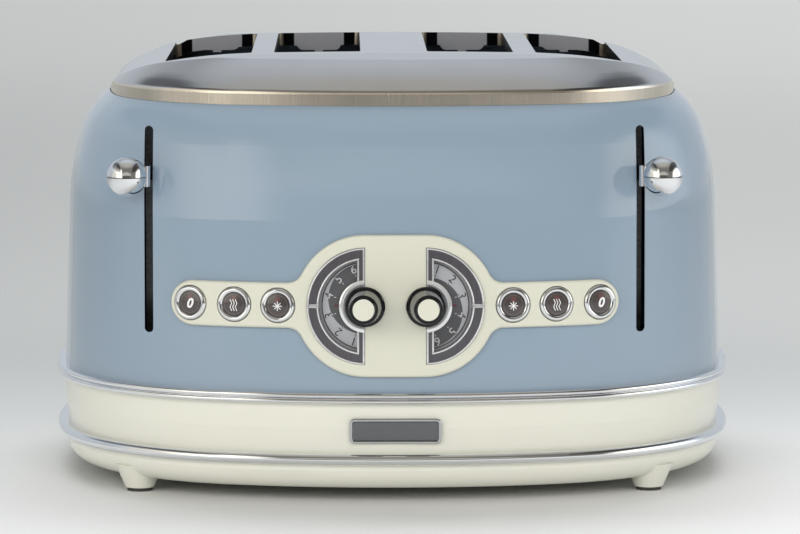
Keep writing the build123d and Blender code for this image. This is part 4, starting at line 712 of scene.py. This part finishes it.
bpy.ops.mesh.primitive_cube_add(size=1)
tick = bpy.context.object
tick.scale = (TICK_WIDTH, TICK_LENGTH, 2 * PRINT_THICKNESS)
settle(tick)
bpy.ops.mesh.primitive_cylinder_add(vertices=MARK_SIDES, radius=1, depth=1)
spot = bpy.context.object
spot.scale = (MARK_HALF_WIDTH, MARK_HALF_HEIGHT, 2 * PRINT_THICKNESS)
settle(spot)
for end, way in (("left", -1), ("right", 1)):
    hub, outward = knob_axis(end)

    bezel = Finish("bezel_" + end, {})
    side, rise = offsets(bezel, hub, outward)
    radius = distance(side, rise)
    lip = bezel.along(hub, outward).step(BEZEL_FLOOR + LIP_RISE, BEZEL_FLOOR + 2 * LIP_RISE)
    collar = radius.within((COLLAR_RADIUS + WELL_RADIUS) / 2, (COLLAR_RADIUS - WELL_RADIUS) / 2, SOFT_EDGE)
    # Painted shade: the well round the knob is painted near black.
    painted_well_shade = radius.fade(WELL_RADIUS - SOFT_EDGE, WELL_RADIUS + SOFT_EDGE)
    split = rise.within(0.0, SPLIT_HALF, SOFT_EDGE) * radius.step(*SPLIT_INNER_END)
    # Painted reflection: lips, collar and split are painted near white and made less metallic.
    polish_and_painted_reflection = (lip + collar + split).step(0.4, 0.6)
    scratch = bezel.noise(1.0, stretch=BAND_SCRATCHES, detail=3.0)
    band_and_well_shade = bezel.blend(scratch, tint(106, 104, 110), tint(134, 132, 138))
    band_and_well_shade = bezel.blend(painted_well_shade, band_and_well_shade, tint(34, 34, 36))
    bezel.feed("Base Color", bezel.blend(polish_and_painted_reflection, band_and_well_shade, tint(238, 239, 241)))
    bezel.feed("Roughness", 0.28 + scratch * 0.1 - polish_and_painted_reflection * 0.24)
    bezel.feed("Metallic", 1 - polish_and_painted_reflection * 0.45)
    outer_lip = radius.hump(BEZEL_RADIUS - LIP_HALF, LIP_HALF)
    inner_lip = radius.hump(INNER_RADIUS + LIP_HALF, LIP_HALF)
    collar_bead = radius.hump(COLLAR_RADIUS - COLLAR_HALF, COLLAR_HALF) * collar
    bezel.relief((outer_lip + inner_lip) * lip + collar_bead * COLLAR_CROWN, LIP_CROWN)
    dress(bezel, "dial_bezel_" + end)

    scale_plate = Finish("scale_plate_" + end, {"Metallic": 0.2})
    radius = distance(*offsets(scale_plate, hub, outward))
    light_part = light_crescent(scale_plate, hub, outward, way)
    satin = scale_plate.noise(700.0, detail=2.0)
    rim_grey = scale_plate.blend(satin, tint(150, 150, 155), tint(160, 160, 165))
    printed = scale_plate.blend(light_part, tint(92, 93, 96), tint(186, 188, 193))
    printed = scale_plate.blend(radius.step(SCALE_EDGE, SCALE_EDGE + SOFT_EDGE), printed, rim_grey)
    line = radius.within(SCALE_EDGE, SCALE_LINE, SCALE_LINE_SOFT)
    scale_plate.feed("Base Color", scale_plate.blend(line, printed, tint(70, 70, 72)))
    scale_plate.feed("Roughness", 0.38 + satin * 0.1)
    dress(scale_plate, "dial_face_" + end)

    figures = []
    for number, turn in enumerate(NUMBER_TURNS, 1):
        reach = radians(turn)
        lean = way * (reach - pi / 2)
        shown = number if end == "right" else len(NUMBER_TURNS) + 1 - number
        figure = letter(str(shown), NUMBER_HEIGHT, PRINT_THICKNESS, steps=4)
        figure.matrix_world = ring_place(NUMBER_RING, reach, lean, way)
        figures += [figure, copy_at(tick, ring_place(TICK_RING, reach, lean, way))]
    numbers = join_as("dial_numbers_" + end, figures)
    place_on(numbers, hub + outward * (SCALE_FACE + PRINT_THICKNESS), outward)
    ink = Finish("dial_ink_" + end, {})
    light_part = light_crescent(ink, hub, outward, way)
    ink.feed("Base Color", ink.blend(light_part, tint(205, 205, 207), tint(58, 58, 60)))
    ink.feed("Roughness", 0.4 + ink.noise(900.0) * 0.2)
    numbers.data.materials.append(ink.material)
    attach(numbers, "root")

    mark = copy_at(spot, Matrix.Translation((way * MARK_RING, 0, 0)))
    mark.name = "dial_mark_" + end
    settle(mark)
    place_on(mark, hub + outward * (SCALE_FACE + PRINT_THICKNESS), outward)
    red_ink = Finish("red_ink_" + end, {})
    red_ink.feed("Base Color", red_ink.blend(red_ink.noise(1500.0), tint(108, 62, 70), tint(92, 58, 66)))
    red_ink.feed("Roughness", 0.45 + red_ink.noise(900.0) * 0.2)
    mark.data.materials.append(red_ink.material)
    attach(mark, "root")
bpy.data.objects.remove(tick)
bpy.data.objects.remove(spot)

# Knobs: turned metal, plated in dark chrome, each with a cream disc pressed into its tip. The dark
# plating comes over the rim of the disc.
CAP_RADIUS = 0.0047
dark_chrome = Finish("dark_chrome", {"Metallic": 1.0})
turning = dark_chrome.noise(900.0, detail=2.0)
dark_chrome.feed("Base Color", dark_chrome.blend(turning, tint(62, 62, 65), tint(78, 78, 81)))
dark_chrome.feed("Roughness", 0.08 + turning * 0.08)
dress(dark_chrome, "browning_knob_left", "browning_knob_right")
for end in ("left", "right"):
    disc = Finish("knob_cap_finish_" + end, {})
    rim = distance(*offsets(disc, *knob_axis(end))).past(CAP_RADIUS, SOFT_EDGE)
    cloud = disc.noise(14.0, detail=3.0)
    cream_face = disc.blend(cloud, tint(221, 221, 208), tint(215, 215, 201))
    disc.feed("Base Color", disc.blend(rim, cream_face, tint(66, 66, 69)))
    disc.feed("Metallic", rim)
    disc.feed("Roughness", 0.32 + cloud * 0.08 - rim * 0.22)
    dress(disc, "knob_cap_" + end)

# Buttons: chromed rings with a smoky brown lens, painted with a faint red glow as from a lamp behind. Each
# has a
# white sign moulded into its front: a nought to stop, three waves to warm again, a frost star to thaw.
CLEAR_OF_LENS = 0.02
LENS_RING = 0.0043
LENS_RING_HALF = 0.00015
PAINTED_GLOW_LIFT = 0.0026
PAINTED_GLOW_SPREAD = (0.0003, 0.0017)
PAINTED_GLOW_STRENGTH = 0.35
SIGN_THICKNESS = 0.00008
SIGN_SINK = 0.00002
SIGN_DROP = 0.0003
NOUGHT_HEIGHT = 0.0057
NOUGHT_SLANT = 0.25
NOUGHT_SWELL = 0.00018
WAVE_GAP = 0.00118
WAVE_HEIGHT = 0.0050
WAVE_SWING = 0.00032
WAVE_WIDTH = 0.00036
WAVE_POINTS = 13
STAR_ARMS = 8
STAR_REACH = 0.0021
STAR_LINE = 0.00040
TWIG_LINE = 0.00028
TWIG_LENGTH = 0.0008
TWIG_PLACE = 0.00172
TWIG_LEAN = radians(42)
BAR_SIDES = 8


def nought():
    """The stop sign: a slanted nought in slightly swollen type."""
    return letter("0", NOUGHT_HEIGHT, SIGN_THICKNESS, slant=NOUGHT_SLANT, swell=NOUGHT_SWELL)


def waves():
    """The sign to warm again: three upright strips that sway together."""
    bpy.ops.mesh.primitive_grid_add(x_subdivisions=1, y_subdivisions=WAVE_POINTS, size=1)
    strip = bpy.context.object
    strip.scale = (WAVE_WIDTH, WAVE_HEIGHT, 1)
    settle(strip)
    for vertex in strip.data.vertices:
        vertex.co.x += WAVE_SWING * sin(3 * pi * vertex.co.y / WAVE_HEIGHT)
    bpy.ops.object.mode_set(mode="EDIT")
    bpy.ops.mesh.select_all(action="SELECT")
    bpy.ops.mesh.extrude_region_move(TRANSFORM_OT_translate={"value": (0, 0, 2 * SIGN_THICKNESS)})
    bpy.ops.mesh.select_all(action="SELECT")
    bpy.ops.mesh.normals_make_consistent(inside=False)
    bpy.ops.object.mode_set(mode="OBJECT")
    first, last = [copy_at(strip, Matrix.Translation((off, 0, 0))) for off in (-WAVE_GAP, WAVE_GAP)]
    return join_as("waves", [first, strip, last])


def bar(width, length):
    """A thin bar for the frost star, narrower at its ends."""
    bpy.ops.mesh.primitive_cylinder_add(vertices=BAR_SIDES, radius=1, depth=1)
    shaped = bpy.context.object
    shaped.scale = (width / 2, length / 2, 2 * SIGN_THICKNESS)
    settle(shaped)
    return shaped


def frost_star():
    """The sign to thaw: eight arms, with two leaning twigs on every other arm."""
    arm = bar(STAR_LINE, STAR_REACH)
    twig = bar(TWIG_LINE, TWIG_LENGTH)
    bars = []
    for number in range(STAR_ARMS):
        turn = Matrix.Rotation(2 * pi * number / STAR_ARMS, 4, "Z")
        bars.append(copy_at(arm, turn @ Matrix.Translation((0, STAR_REACH / 2, 0))))
        leans = (-TWIG_LEAN, TWIG_LEAN) if number % 2 == 0 else ()
        for lean in leans:
            place = turn @ Matrix.Translation((0, TWIG_PLACE, 0)) @ Matrix.Rotation(lean, 4, "Z")
            bars.append(copy_at(twig, place))
    bpy.data.objects.remove(arm)
    bpy.data.objects.remove(twig)
    return join_as("frost_star", bars)


sign_white = Finish("sign_white", {"Coat Weight": 0.5})
chalk = sign_white.noise(1200.0)
sign_white.feed("Base Color", sign_white.blend(chalk, tint(246, 246, 248), tint(236, 236, 240)))
sign_white.feed("Roughness", 0.35 + chalk * 0.1)
signs = {"cancel": nought(), "reheat": waves(), "defrost": frost_star()}
for end in ("left", "right"):
    for kind, pattern in signs.items():
        dress(chrome, kind + "_button_" + end)
        lens = kind + "_lens_" + end
        outward = -Vector(joints[kind + "_press_" + end]["axis"]).normalized()
        low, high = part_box(lens)
        seat = surface(lens, (low + high) / 2 + outward * CLEAR_OF_LENS, -outward)[0]
        smoky = Finish(kind + "_lens_finish_" + end, {"Coat Weight": 0.8, "Coat Roughness": 0.08})
        side, rise = offsets(smoky, seat, outward)
        ring = distance(side, rise).within(LENS_RING, LENS_RING_HALF, SOFT_EDGE)
        # Painted glow: a faint red spot in the lens colour stands in for a lamp's light.
        painted_lamp_glow = distance(side, rise - PAINTED_GLOW_LIFT).step(*PAINTED_GLOW_SPREAD, PAINTED_GLOW_STRENGTH, 0.0)
        streak = smoky.noise(300.0, detail=2.0)
        smoke = smoky.blend(streak, tint(60, 53, 53), tint(70, 62, 61))
        smoke = smoky.blend(ring * 0.5, smoke, tint(112, 106, 105))
        smoky.feed("Base Color", smoky.blend(painted_lamp_glow, smoke, tint(150, 66, 70)))
        smoky.feed("Roughness", 0.3 + streak * 0.1)
        dress(smoky, lens)
        sign = copy_at(pattern, Matrix.Identity(4))
        sign.name = kind + "_sign_" + end
        up = bearings(outward)[1]
        place_on(sign, seat + outward * SIGN_SINK - up * SIGN_DROP, outward)
        sign.data.materials.append(sign_white.material)
        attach(sign, kind + "_" + end)
for pattern in signs.values():
    bpy.data.objects.remove(pattern)
